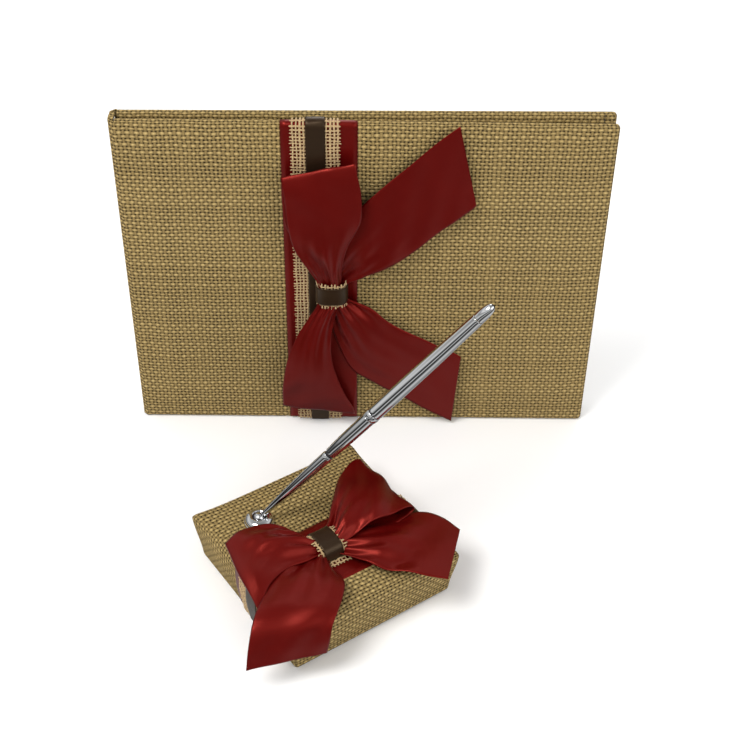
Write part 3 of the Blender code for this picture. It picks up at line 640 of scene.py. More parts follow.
# %% Small mesh helpers the cloth needs
def face_out(points, quads, middle):
    """Turns each quad so that it faces away from the middle of the cover."""
    corners = points[quads]
    normal = np.cross(corners[:, 2] - corners[:, 0], corners[:, 3] - corners[:, 1])
    centre = corners.mean(1)
    near = np.clip(centre, [0.006, -COVER_THICK / 2, 0.006],
                   [COVER_WIDE - 0.006, -COVER_THICK / 2, COVER_TALL - 0.006])
    away = centre - near
    joint = centre[:, 0] < HINGE_GAP + 1e-6
    away[joint] = centre[joint] - np.array([HINGE_GAP + 0.004, -SPINE_HALF - 0.004, 0]) * [1, 1, 0]
    away[joint, 2] = 0
    wrong = (normal * away).sum(1) < 0
    quads = quads.copy()
    quads[wrong] = quads[wrong][:, ::-1]
    return quads


def mirrors(place):
    """A place that swaps left and right would turn the cloth inside out."""
    axes = place(np.eye(3)) - place(np.zeros(3))
    return np.linalg.det(axes) < 0


def merged(points, quads, flats):
    """Joins points that lie on each other, and keeps each quad corner's place on the flat cloth."""
    corner_flats = flats[quads]
    key = np.round(points * 2e6).astype(np.int64)
    _, first, back = np.unique(key, axis=0, return_index=True, return_inverse=True)
    quads = back.reshape(-1)[quads]
    keep = np.array([len(set(q)) == 4 for q in quads.tolist()])
    return points[first], quads[keep], corner_flats[keep]


# %% Cloth of one cover, its joint and half the spine
def spaced(start, end, step):
    return np.linspace(start, end, max(2, int(round(abs(end - start) / step)) + 1))


def joint_point(run):
    """Where the cloth lies, run metres past the cover's hinge edge: round the joint, then the spine."""
    radius = HINGE_GAP + 0.0004
    quarter = radius * math.pi / 2
    angle = np.clip(run / radius, 0, math.pi / 2)
    tuck = 1 - 0.16 * np.sin(2 * angle) ** 2
    along = HINGE_GAP - radius * np.sin(angle) * tuck
    out = -HINGE_GAP + (radius * np.cos(angle) - 0.0004 * np.cos(angle)) * tuck
    return along, out - np.clip(run - quarter, 0, None), quarter


def case_cloth(name, place, stands_for, ribbon):
    step = 0.0016
    xs, zs = spaced(HINGE_GAP, COVER_WIDE, step), spaced(0, COVER_TALL, step)
    ds = spaced(0, COVER_THICK, 0.0009)
    ts = spaced(0, TURN_IN, 0.0015)
    quarter = joint_point(np.zeros(1))[2]
    runs = spaced(0, quarter + SPINE_HALF - HINGE_GAP + 0.0004, 0.0005)[1:][::-1]
    wide, tall, thick = COVER_WIDE, COVER_TALL, COVER_THICK
    parts = []

    def sheet_part(first, second, to_box, to_flat):
        a, b = np.meshgrid(first, second, indexing="ij")
        parts.append((to_box(a, b), np.stack(to_flat(a, b), -1)))

    def box(a, b, c):
        return np.stack(np.broadcast_arrays(a, b, c), -1)

    sheet_part(xs, zs, lambda a, b: box(a, 0 * a, b), lambda a, b: (a, b))
    sheet_part(ds, zs, lambda a, b: box(wide + 0 * a, -a, b), lambda a, b: (wide + a, b))
    sheet_part(ts, zs, lambda a, b: box(wide - a, -thick + 0 * a, b),
               lambda a, b: (wide + thick + a, b))
    for edge, sign in ((tall, 1.0), (0.0, -1.0)):
        def flat_of(extra, sign=sign, edge=edge):
            return lambda a, b: (b, edge + sign * (extra + a))
        sheet_part(ds[::int(sign)], xs, lambda a, b, e=edge: box(b, -a, e + 0 * a), flat_of(0.0))
        inner = xs[xs <= wide - TURN_IN + 1e-6]
        sheet_part(ts[::int(sign)], inner,
                   lambda a, b, e=edge, s=sign: box(b, -thick + 0 * a, e - s * a), flat_of(thick))
    points, flats, quads, count = [], [], [], 0
    for shape, flat in parts:
        rows, columns = shape.shape[:2]
        points.append(cover_shape(shape.reshape(-1, 3), ribbon))
        flats.append(flat.reshape(-1, 2))
        quads.append(grid_quads(rows, columns, count))
        count += rows * columns
    a, b = np.meshgrid(runs, zs, indexing="ij")
    along, out, _ = joint_point(a)
    lift = cover_shape(box(HINGE_GAP + 0 * b, 0 * b, b), ribbon)
    edge_z = np.clip(b, 0.0003, tall - 0.0003)
    points.append(np.stack([along, out + lift[..., 1] * np.exp(-a / 0.001), edge_z], -1).reshape(-1, 3))
    flats.append(np.stack([HINGE_GAP - a, b], -1).reshape(-1, 2))
    quads.append(grid_quads(len(runs), len(zs), count))
    last_row = count + (len(runs) - 1) * len(zs)
    bridge = np.stack([np.arange(last_row, last_row + len(zs) - 1),
                       np.arange(last_row + 1, last_row + len(zs)),
                       np.arange(1, len(zs)), np.arange(len(zs) - 1)], -1)
    quads.append(bridge)
    points, flats = np.concatenate(points), np.concatenate(flats)
    quads = face_out(points, np.concatenate(quads), np.array([wide / 2, -thick / 2, tall / 2]))
    points, quads, flats = merged(points, quads, flats)
    if mirrors(place):
        quads, flats = quads[:, ::-1], flats[:, ::-1]
    piece = make_piece(name, place(points), quads, flats, BURLAP, None, (stands_for,),
                       CLOTH_THICK)
    piece.data.validate()
    start, end = place([[HINGE_GAP, 0, 0], [0.0, 0, 0]])
    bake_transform(piece)
    return piece


front_case = case_cloth("front_case_cloth", front_place, "front_burlap", True)
back_case = case_cloth("back_case_cloth", back_place, "back_burlap", False)
print("cover cloth faces:", len(front_case.data.polygons), len(back_case.data.polygons))

# %% [markdown]
# ## Spine, padding and the box skin
# The spine tray, the padding slabs and the block's cover are all soft boxes. One helper lays grids
# on the chosen sides of a box and unfolds them like a cut paper box, so the weave runs over the
# edges without a jump. A shape function then rounds and swells the result.


# %% Box skin
def box_skin(low, high, step, sides="+x -x +y -y +z -z"):
    low, high = np.array(low, float), np.array(high, float)
    points, flats, quads, count = [], [], [], 0
    for label in sides.split():
        sign, axis = (1 if label[0] == "+" else -1), "xyz".index(label[1])
        first, second = [a for a in range(3) if a != axis]
        a, b = np.meshgrid(spaced(low[first], high[first], step), spaced(low[second], high[second], step),
                           indexing="ij")
        part = np.zeros((*a.shape, 3))
        part[..., first], part[..., second] = a, b
        part[..., axis] = high[axis] if sign > 0 else low[axis]
        flat = part[..., :2].copy()
        if axis < 2:
            flat[..., axis] += sign * (high[2] - part[..., 2])
        elif sign < 0:
            flat[..., 0] += 2 * (high[2] - low[2]) + high[0] - low[0]
        grid = grid_quads(*a.shape, count)
        quads.append(grid[:, ::-1] if (sign > 0) != (axis == 1) else grid)
        points.append(part.reshape(-1, 3))
        flats.append(flat.reshape(-1, 2))
        count += a.size
    return merged(np.concatenate(points), np.concatenate(quads), np.concatenate(flats))


def rounded(points, low, high, radius):
    """Pushes points of a box surface onto a box with round edges."""
    low, high = np.array(low, float), np.array(high, float)
    reach = np.minimum(radius, (high - low) / 2) if np.ndim(radius) == 0 else radius
    core = np.clip(points, low + reach, high - reach)
    away = points - core
    length = np.maximum(np.linalg.norm(away, axis=-1, keepdims=True), 1e-9)
    limit = np.min(reach, axis=-1, keepdims=True) if np.ndim(radius) else np.min(reach)
    return core + away * np.minimum(1.0, limit / length)


def soft_slab(node, body, swell, pieces_name):
    """Padding: a closed slab with round edges and a lumpy face, inside the cloth."""
    low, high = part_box(node)
    points, quads, flats = box_skin(low, high, 0.004)
    shaped = rounded(points, low, high, 0.0008)
    shaped = shaped + swell(shaped)[:, None] * np.array([0, 0, 1.0])
    piece = make_piece(pieces_name, shaped, quads, flats, BATTING, body, (node,))
    return piece


def spine_tray():
    points, quads, flats = box_skin(SPINE_LOW, SPINE_HIGH, 0.0011, "-x +y -y +z -z")
    shaped = rounded(points, SPINE_LOW, SPINE_HIGH, 0.0006)
    flats = flats * [1, 1]
    piece = make_piece("spine_cloth", shaped, quads, flats, BURLAP, "spine",
                       ("spine_burlap",), CLOTH_THICK * 0.8)


spine_tray()

# %% [markdown]
# ## Inside the book
# Pages are drawn as real sheets, three to a signature and one for each flyleaf, because the edge of
# a book is a pile of thin lines. Each sheet waves by a few hundredths of a millimetre. The
# headbands are small cords wound in two colours at the ends of the spine.

# %% Leaves
LEAF_THICK = 0.00035
SHEET_THICK = 0.00009


def leaf_sheets(node, count, seed):
    low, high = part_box(node)
    slope = (high.y - low.y - LEAF_THICK) / (high.x - low.x)
    dice = np.random.default_rng(seed)
    points, quads, flats, total = [], [], [], 0
    xs, zs = spaced(low.x, high.x, 0.005), spaced(low.z, high.z, 0.005)
    for number in range(count):
        a, b = np.meshgrid(xs, zs, indexing="ij")
        level = LEAF_THICK * ((number + 0.5) / count)
        inset = dice.uniform(-0.0001, 0.0003)
        wave = 0.00002 * np.sin(a * dice.uniform(40, 90) + dice.uniform(0, 6)) * np.sin(b * 50 + number)
        a = np.minimum(a, high.x - max(inset, 0))
        y = low.y + (a - low.x) * slope + level + wave
        points.append(np.stack([a, y, b], -1).reshape(-1, 3))
        flats.append(np.stack([a, b], -1).reshape(-1, 2))
        quads.append(grid_quads(*a.shape, total))
        total += a.size
    return make_piece(node + "_sheets", np.concatenate(points), np.concatenate(quads),
                      np.concatenate(flats), PAPER, node, (node,), SHEET_THICK, 0.0)


for order, node in enumerate(("front_flyleaf", "signature_1", "signature_2", "signature_3",
                              "signature_4", "back_flyleaf")):
    leaf_sheets(node, 1 if "flyleaf" in node else 3, 20 + order)


# %% Headbands
def headband(node):
    low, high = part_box(node)
    runs = spaced(low.y, high.y, 0.00018)
    angles = np.linspace(0, math.tau, 21)
    turn = runs[:, None] / 0.0014 * math.tau * 2
    swell = 1 - 0.10 * np.cos(turn) ** 2 - 0.85 * np.clip(
        np.abs(runs[:, None] - (low.y + high.y) / 2) / ((high.y - low.y) / 2) - 0.96, 0, 1) * 20
    x = (low.x + high.x) / 2 + (high.x - low.x) / 2 * np.cos(angles)[None] * swell
    z = (low.z + high.z) / 2 + (high.z - low.z) / 2 * np.sin(angles)[None] * swell
    y = np.broadcast_to(runs[:, None], x.shape)
    flat = np.stack([np.broadcast_to(angles[None] * 0.001, x.shape), y], -1)
    make_piece(node + "_cord", np.stack([x, y, z], -1).reshape(-1, 3), grid_quads(*x.shape)[:, ::-1],
               flat.reshape(-1, 2), HEADBAND, "spine", (node,))


headband("headband_top")
headband("headband_bottom")

# %% [markdown]
# ## The padded pen stand
# A wooden block, a layer of batting and a burlap cover stapled underneath. The cover is a box skin
# with larger rounding at the top, a crowned top that sinks under the ribbon and round the chrome
# funnel, and sides that bulge a little between the corners.

# %% Stand sizes and its soft shape
STAND_TURN = math.radians(34.7)
stand_low, stand_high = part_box("stand_burlap")
STAND_CENTRE = ((stand_low + stand_high) / 2).xy
STAND_HALF = (stand_high.x - stand_low.x) / 2 / (math.cos(STAND_TURN) + math.sin(STAND_TURN))
STAND_TALL = stand_high.z
BALL = Vector(JOINTS["swivel_spin"]["pos_m"])
TOP_RISE, SIDE_RISE = 0.0016, 0.0010
TOP_RADIUS, FOOT_RADIUS = 0.0038, 0.0020
CORNER_PULL, FOOT_TAPER = 0.0022, 0.034
STAND_BAND_LOW, STAND_BAND_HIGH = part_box("stand_brown_ribbon")


def stand_place(local):
    local = np.asarray(local, float)
    c, s = math.cos(STAND_TURN), math.sin(STAND_TURN)
    return np.stack([STAND_CENTRE.x + local[..., 0] * c - local[..., 1] * s,
                     STAND_CENTRE.y + local[..., 0] * s + local[..., 1] * c, local[..., 2]], -1)


def stand_local(point):
    c, s = math.cos(STAND_TURN), math.sin(STAND_TURN)
    dx, dy = point[0] - STAND_CENTRE.x, point[1] - STAND_CENTRE.y
    return np.array([dx * c + dy * s, -dx * s + dy * c])


band_centre = stand_local((STAND_BAND_LOW + STAND_BAND_HIGH) / 2)
STAND_BAND_V = float(band_centre[1])
FUNNEL = stand_local(BALL)
print(f"stand {STAND_HALF * 2000:.1f} mm square, band at {STAND_BAND_V * 1000:.1f} mm")


def stand_shape(local):
    local = np.asarray(local, float)
    u, v, z = local[..., 0], local[..., 1], local[..., 2]
    radius = (FOOT_RADIUS + (TOP_RADIUS - FOOT_RADIUS) * ease(z / STAND_TALL))[..., None] * np.ones(3)
    low = np.array([-STAND_HALF, -STAND_HALF, 0.0])
    high = np.array([STAND_HALF, STAND_HALF, STAND_TALL])
    shaped = rounded(local, low, high, radius)
    edge = np.clip(STAND_HALF - np.maximum(np.abs(u), np.abs(v)), 0, None)
    soft = 1 - np.exp(-(edge / 0.010) ** 2)
    funnel = np.exp(-(np.hypot(u - FUNNEL[0], v - FUNNEL[1]) / 0.0115) ** 4)
    under_band = np.exp(-((v - STAND_BAND_V) / 0.021) ** 4)
    rise = (TOP_RISE + 0.0003 * slow_swell(u, v, 11)) * soft - 0.0006 * under_band * soft
    rise = rise * (1 - funnel)
    shaped[..., 2] += np.where(z > STAND_TALL - 1e-6, rise, 0.0)
    belly = np.sin(math.pi * np.clip(z / STAND_TALL, 0, 1)) ** 1.5
    for axis, other in ((0, v), (1, u)):
        reach = 1 - np.exp(-((STAND_HALF - np.abs(other)) / 0.014) ** 2)
        on_side = np.abs(local[..., axis]) > STAND_HALF - 1e-6
        bulge = (SIDE_RISE + 0.0003 * slow_swell(other, z, 17 + axis)) * belly * reach
        shaped[..., axis] += np.where(on_side, np.sign(local[..., axis]) * bulge, 0.0)
    tall = ease(z / STAND_TALL)
    corner = (np.abs(u * v) / STAND_HALF ** 2) ** 5 * tall * CORNER_PULL
    for axis in (0, 1):
        shaped[..., axis] *= 1 - FOOT_TAPER * (1 - tall)
        shaped[..., axis] += np.sign(local[..., axis]) * corner
    return shaped


# %% The stand's cloth and padding
FELT_MARGIN = 0.006


def stand_cloth():
    low, high = (-STAND_HALF, -STAND_HALF, 0.0), (STAND_HALF, STAND_HALF, STAND_TALL)
    points, quads, flats = box_skin(low, high, 0.0013)
    middle = points[quads].mean(1)
    window = (middle[:, 2] < 1e-6) & (np.abs(middle[:, :2]).max(1) < STAND_HALF - FELT_MARGIN)
    piece = make_piece("stand_cloth", stand_place(stand_shape(points)), quads[~window], flats[~window],
                       BURLAP, "pen_stand", ("stand_burlap",), CLOTH_THICK)


def stand_batting():
    inset = CLOTH_THICK + 0.0004
    half, top = STAND_HALF - inset, STAND_TALL - inset
    points, quads, flats = box_skin((-half, -half, inset), (half, half, top), 0.003)
    shaped = rounded(points, (-half, -half, inset), (half, half, top), TOP_RADIUS)
    shaped[:, :2] *= 1 - FOOT_TAPER * (1 - ease(shaped[:, 2:] / STAND_TALL))
    piece = make_piece("stand_batting", stand_place(shaped), quads, flats, BATTING,
                       "pen_stand", ("stand_padding",))


stand_cloth()
stand_batting()

# %% [markdown]
# ## Flat ribbon bands
# Three ribbons lie on each other: wide red satin, a loose burlap strip, and narrow brown satin.
# A strip is laid by walking over the soft box, so it follows the padding and turns over the edges.
# The burlap strip is so open that the satin shows through it, so its threads are modelled one by
# one, each a small tube that dives over and under its neighbours.


# %% Walking over a soft shape
def lay_strip(shape, place, track, across):
    """track(u) gives box-surface points of one line. Returns evenly spaced points and normals."""
    lines = np.stack([place(shape(track(u))) for u in across], 1)
    middle = lines[:, len(across) // 2]
    run = np.concatenate([[0], np.cumsum(np.linalg.norm(np.diff(middle, axis=0), axis=1))])
    along = np.linspace(0, run[-1], int(run[-1] / 0.0005) + 1)
    points = np.stack([np.stack([np.interp(along, run, lines[:, k, axis]) for axis in range(3)], -1)
                       for k in range(len(across))], 1)
    return {"points": points, "normals": grid_normals(points), "across": np.asarray(across),
            "along": along}


def grid_normals(points):
    forward = np.gradient(points, axis=0)
    sideways = np.gradient(points, axis=1)
    normals = np.cross(sideways, forward)
    return normals / np.maximum(np.linalg.norm(normals, axis=-1, keepdims=True), 1e-12)


def turned_out(strip, outward):
    """Flips the normals of a strip if they point into the object."""
    if (strip["normals"][len(strip["along"]) // 2, 0] * np.array(outward)).sum() < 0:
        strip["normals"] = -strip["normals"]
    return strip


def on_strip(strip, u, s):
    """Point and normal at (u, s), read between the strip's own points."""
    fu = np.interp(u, strip["across"], np.arange(len(strip["across"])))
    fs = np.interp(s, strip["along"], np.arange(len(strip["along"])))
    iu = np.clip(fu.astype(int), 0, len(strip["across"]) - 2)
    js = np.clip(fs.astype(int), 0, len(strip["along"]) - 2)
    wu, ws = (fu - iu)[:, None], (fs - js)[:, None]
    found = []
    for key in ("points", "normals"):
        grid = strip[key]
        found.append((grid[js, iu] * (1 - ws) + grid[js + 1, iu] * ws) * (1 - wu)
                     + (grid[js, iu + 1] * (1 - ws) + grid[js + 1, iu + 1] * ws) * wu)
    return found


# %% Satin strip
def satin_strip(name, strip, low, high, lift, material, body, node):
    across = np.linspace(low, high, 15)
    rows, columns = len(strip["along"]), len(across)
    s, u = np.meshgrid(strip["along"], across, indexing="ij")
    point, normal = on_strip(strip, u.ravel(), s.ravel())
    edge = np.abs((u - (low + high) / 2) / ((high - low) / 2)).ravel()
    ripple = 0.00007 * np.sin(s.ravel() * 190 + u.ravel() * 60) * edge ** 2
    point = point + normal * (lift + ripple - 0.00008 * edge ** 8)[:, None]
    flat = np.stack([u, s], -1).reshape(-1, 2)
    return make_piece(name, point, grid_quads(rows, columns), flat, material, body, (node,),
                      0.00022, 0.0)


# %% Burlap strip, thread by thread
THREAD_WIDE, THREAD_HIGH = 0.00046, 0.00030
THREAD_SIDES = 6


def woven_strip(name, strip, low, high, lift, body, node, pitch=0.00185, fray=0.0003, seed=5):
    dice = np.random.default_rng(seed)
    length = float(strip["along"][-1])
    warps, wefts = int((high - low) / pitch), int(length / pitch)
    swing = 0.00026
    points, quads, flats, count = [], [], [], 0

    def thread(u, s, height, width):
        nonlocal count
        centre, normal = on_strip(strip, u, s)
        centre = centre + normal * height[:, None]
        heading = np.gradient(centre, axis=0)
        heading /= np.maximum(np.linalg.norm(heading, axis=1, keepdims=True), 1e-12)
        side = np.cross(heading, normal)
        angles = np.arange(THREAD_SIDES + 1) / THREAD_SIDES * math.tau
        thin = np.ones(len(u))
        thin[[0, -1]] = 0.25
        ring = (centre[:, None] + side[:, None] * (np.cos(angles)[None, :, None] * (width * thin)[:, None, None])
                + normal[:, None] * (np.sin(angles)[None, :, None] * (THREAD_HIGH * thin)[:, None, None]))
        run = np.concatenate([[0], np.cumsum(np.linalg.norm(np.diff(centre, axis=0), axis=1))])
        offset = dice.uniform(0, 3)
        flat = np.stack(np.broadcast_arrays(angles[None] * 0.0004 + offset, run[:, None] * 0.5 + offset), -1)
        points.append(ring.reshape(-1, 3))
        flats.append(flat.reshape(-1, 2))
        quads.append(grid_quads(len(u), THREAD_SIDES + 1, count))
        count += len(u) * (THREAD_SIDES + 1)

    middle = (low + high) / 2
    for i in range(warps):
        s = np.arange(0, length, pitch / 4)
        base = middle + (i - (warps - 1) / 2) * pitch
        u = base + 0.00016 * np.sin(s * dice.uniform(150, 420) + dice.uniform(0, 6)) + dice.normal(0, 0.00008)
        thread(u, s, lift + swing * np.cos(math.pi * (s / pitch + i)),
               THREAD_WIDE * dice.uniform(0.75, 1.15) * np.ones(len(s)))
    for j in range(wefts):
        reach = (high - low) / 2 + fray * dice.uniform(0.2, 1.6)
        u = np.arange(-reach, reach, pitch / 4) + middle
        s = (j + 0.5) * pitch + 0.00014 * np.sin((u - low) * dice.uniform(200, 500) + dice.uniform(0, 6))
        lean = dice.normal(0, 0.0002) * (np.abs(u - middle) / reach) ** 4
        over = np.cos(math.pi * ((u - middle) / pitch + (warps - 1) / 2 + j + 1))
        thread(u, np.clip(s + lean, 0, length), lift + swing * over,
               THREAD_WIDE * dice.uniform(0.75, 1.15) * np.ones(len(u)))
    piece = make_piece(name, np.concatenate(points), np.concatenate(quads), np.concatenate(flats),
                       THREAD, body, (node,))
    return piece


# %% Bands on the book
RIBBON_LIFTS = {"wide": 0.0003, "burlap": 0.00115, "brown": 0.00185}
wide_low, wide_high = (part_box("book_wide_ribbon")[k].x - FRONT_PIN.x for k in (0, 1))
strip_low, strip_high = (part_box("book_burlap_ribbon")[k].x - FRONT_PIN.x for k in (0, 1))
brown_low, brown_high = (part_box("book_brown_ribbon")[k].x - FRONT_PIN.x for k in (0, 1))


def book_track(u):
    up = spaced(0.0006, COVER_TALL, 0.0006)
    over = spaced(0, COVER_THICK - 0.0004, 0.0004)[1:]
    face = np.stack([0 * up + u, 0 * up, up], -1)
    top = np.stack([0 * over + u, -over, 0 * over + COVER_TALL], -1)
    return np.concatenate([face, top])


book_strip = turned_out(lay_strip(cover_shape, front_place, book_track,
                                  np.linspace(wide_low - 0.002, wide_high + 0.002, 33)), (0, -1, 0))
book_wide = satin_strip("book_wide_band", book_strip, wide_low, wide_high, RIBBON_LIFTS["wide"], RED,
                        "front_cover", "book_wide_ribbon")
book_weave = woven_strip("book_burlap_band", book_strip, strip_low, strip_high,
                         RIBBON_LIFTS["burlap"], "front_cover", "book_burlap_ribbon", seed=5)
book_brown = satin_strip("book_brown_band", book_strip, brown_low, brown_high, RIBBON_LIFTS["brown"],
                         BROWN, "front_cover", "book_brown_ribbon")

# %% Bands on the stand
WIDE_RIBBON, BURLAP_RIBBON, BROWN_RIBBON = wide_high - wide_low, strip_high - strip_low, brown_high - brown_low
WIDE_SHIFT = (wide_low + wide_high - strip_low - strip_high) / 2


def stand_track(v):
    up = spaced(0.0008, STAND_TALL, 0.0007)
    over = spaced(-STAND_HALF, STAND_HALF, 0.0007)[1:-1]
    left = np.stack([0 * up - STAND_HALF, 0 * up + v, up], -1)
    top = np.stack([over, 0 * over + v, 0 * over + STAND_TALL], -1)
    right = left[::-1] * [-1, 1, 1]
    return np.concatenate([left, top, right])


stand_strip = turned_out(lay_strip(stand_shape, stand_place, stand_track,
                                   np.linspace(STAND_BAND_V - 0.024, STAND_BAND_V + 0.024, 41)), (0, 0, 1))
middle = STAND_BAND_V - WIDE_SHIFT
stand_wide = satin_strip("stand_wide_band", stand_strip, middle - WIDE_RIBBON / 2,
                         middle + WIDE_RIBBON / 2, RIBBON_LIFTS["wide"], RED, "pen_stand",
                         "stand_wide_ribbon")
stand_weave = woven_strip("stand_burlap_band", stand_strip, STAND_BAND_V - BURLAP_RIBBON / 2,
                          STAND_BAND_V + BURLAP_RIBBON / 2, RIBBON_LIFTS["burlap"], "pen_stand",
                          "stand_burlap_ribbon", seed=6)
stand_brown = satin_strip("stand_brown_band", stand_strip, STAND_BAND_V - BROWN_RIBBON / 2,
                          STAND_BAND_V + BROWN_RIBBON / 2, RIBBON_LIFTS["brown"], BROWN,
                          "pen_stand", "stand_brown_ribbon")

# %% [markdown]
# ## Bows
# A bow is four pieces of one ribbon: two loops and two tails that come out from under a knot wrap.
# Cloth simulation could tie one, but a tied shape is easier to steer station by station. Each piece is a
# surface through a few stations. A station says where the ribbon's middle is, which way its width
# points, how wide it is there, how far its middle swells, and how deep its pleats are. A smooth
# curve joins the stations, and near the knot the pleats gather the ribbon as a tight wrap does.


# %% A smooth surface through stations
def smooth_through(values, samples):
    """Catmull-Rom through rows of values, spaced by the distance between their first three."""
    values = np.asarray(values, float)
    gaps = np.linalg.norm(np.diff(values[:, :3], axis=0), axis=1)
    knots = np.concatenate([[0], np.cumsum(gaps)])
    slopes = np.empty_like(values)
    slopes[1:-1] = (values[2:] - values[:-2]) / (knots[2:] - knots[:-2])[:, None]
    slopes[0] = (values[1] - values[0]) / gaps[0]
    slopes[-1] = (values[-1] - values[-2]) / gaps[-1]
    t = np.linspace(0, knots[-1], samples)
    k = np.clip(np.searchsorted(knots, t, side="right") - 1, 0, len(gaps) - 1)
    h = gaps[k][:, None]
    x = ((t - knots[k])[:, None]) / h
    return ((2 * x ** 3 - 3 * x ** 2 + 1) * values[k] + (x ** 3 - 2 * x ** 2 + x) * h * slopes[k]
            + (-2 * x ** 3 + 3 * x ** 2) * values[k + 1] + (x ** 3 - x ** 2) * h * slopes[k + 1]), t


def ribbon_piece(name, frame_of, stations, body, node, seed, lean=0.0, crumple=0.16,
                 samples=130, columns=36):
    """stations: across, along, out, turn in degrees, half width, crown, pleat (millimetres)."""
    stations = np.array(stations, float)
    rows, run = smooth_through(stations, samples)
    v = np.linspace(-1, 1, columns)
    turn = np.radians(rows[:, 3])
    wide = np.stack([np.cos(turn), np.sin(turn), 0 * turn], -1)
    forward = np.gradient(rows[:, :3], axis=0)
    normal = np.cross(wide, forward)
    normal /= np.maximum(np.linalg.norm(normal, axis=1, keepdims=True), 1e-9)
    if normal[2, 2] < 0:
        normal = -normal
    dice = np.random.default_rng(seed)
    waves, shift = dice.uniform(2.1, 2.9), dice.uniform(0, math.tau)
    fold = np.cos(v[None] * math.pi * waves / 2 + shift)
    fine = np.cos(v[None] * math.pi * waves * 1.7 + shift * 2)
    pleat = rows[:, 6:7] * (fold + 0.45 * fine + 0.25 * np.cos(v[None] * math.pi * 4.3 + shift))
    crown = rows[:, 5:6] * (1 - v[None] ** 2)
    crinkle = sum(crumple * np.sin(v[None] * dice.uniform(2, 7) + run[:, None] * dice.uniform(0.10, 0.32)
                                + dice.uniform(0, 6)) for _ in range(4))
    soft_crinkle = crinkle * np.clip(run[:, None] / 12, 0, 1) * (0.25 + 0.75 * np.clip(
        (run[-1] - run[:, None]) / 22, 0, 1))
    height = crown + pleat + soft_crinkle
    local = (rows[:, None, :3] + wide[:, None] * (rows[:, 4:5] * v[None])[..., None]
             + normal[:, None] * height[..., None]) / 1000
    front = np.linspace(0, 1, samples) < 0.5 * len(stations) / 10
    drop = lean * ((v[None] + 1) / 2) ** 1.5 * np.clip(rows[:, 2:3] - 3.4, 0, None) * front[:, None]
    local[..., 2] -= drop / 1000
    flat = np.stack(np.broadcast_arrays(v[None] * 0.02, run[:, None] / 1000), -1)
    piece = make_piece(name, frame_of(local.reshape(-1, 3)), grid_quads(samples, columns),
                       flat.reshape(-1, 2), RED, body, (node,), 0.00024, 0.0)
    surface = local.reshape(samples, columns, 3)
    area = np.linalg.norm(np.cross(np.diff(surface, axis=0)[:, 1:], np.diff(surface, axis=1)[1:]),
                          axis=-1).sum()
    print(f"{name}: {run[-1]:.0f} mm long, {area / (0.038 * run[-1] / 1000):.2f} of the flat ribbon")
    return piece


# %% Bow frames: across, along and out of the surface
def bow_frame(origin, across, along, out):
    def frame_of(local):
        local = np.asarray(local, float)
        return (np.array(origin) + local[..., :1] * np.array(across)
                + local[..., 1:2] * np.array(along) + local[..., 2:3] * np.array(out))
    return frame_of


knot_low, knot_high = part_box("book_bow_knot_burlap")
book_bow = bow_frame(((knot_low.x + knot_high.x) / 2, knot_high.y, (knot_low.z + knot_high.z) / 2),
                     (1, 0, 0), (0, 0, 1), (0, -1, 0))
knot_low, knot_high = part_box("stand_bow_knot_burlap")
turned = (math.cos(STAND_TURN), math.sin(STAND_TURN))
stand_bow = bow_frame(((knot_low.x + knot_high.x) / 2, (knot_low.y + knot_high.y) / 2, knot_low.z),
                      (turned[1], -turned[0], 0), (turned[0], turned[1], 0), (0, 0, 1))

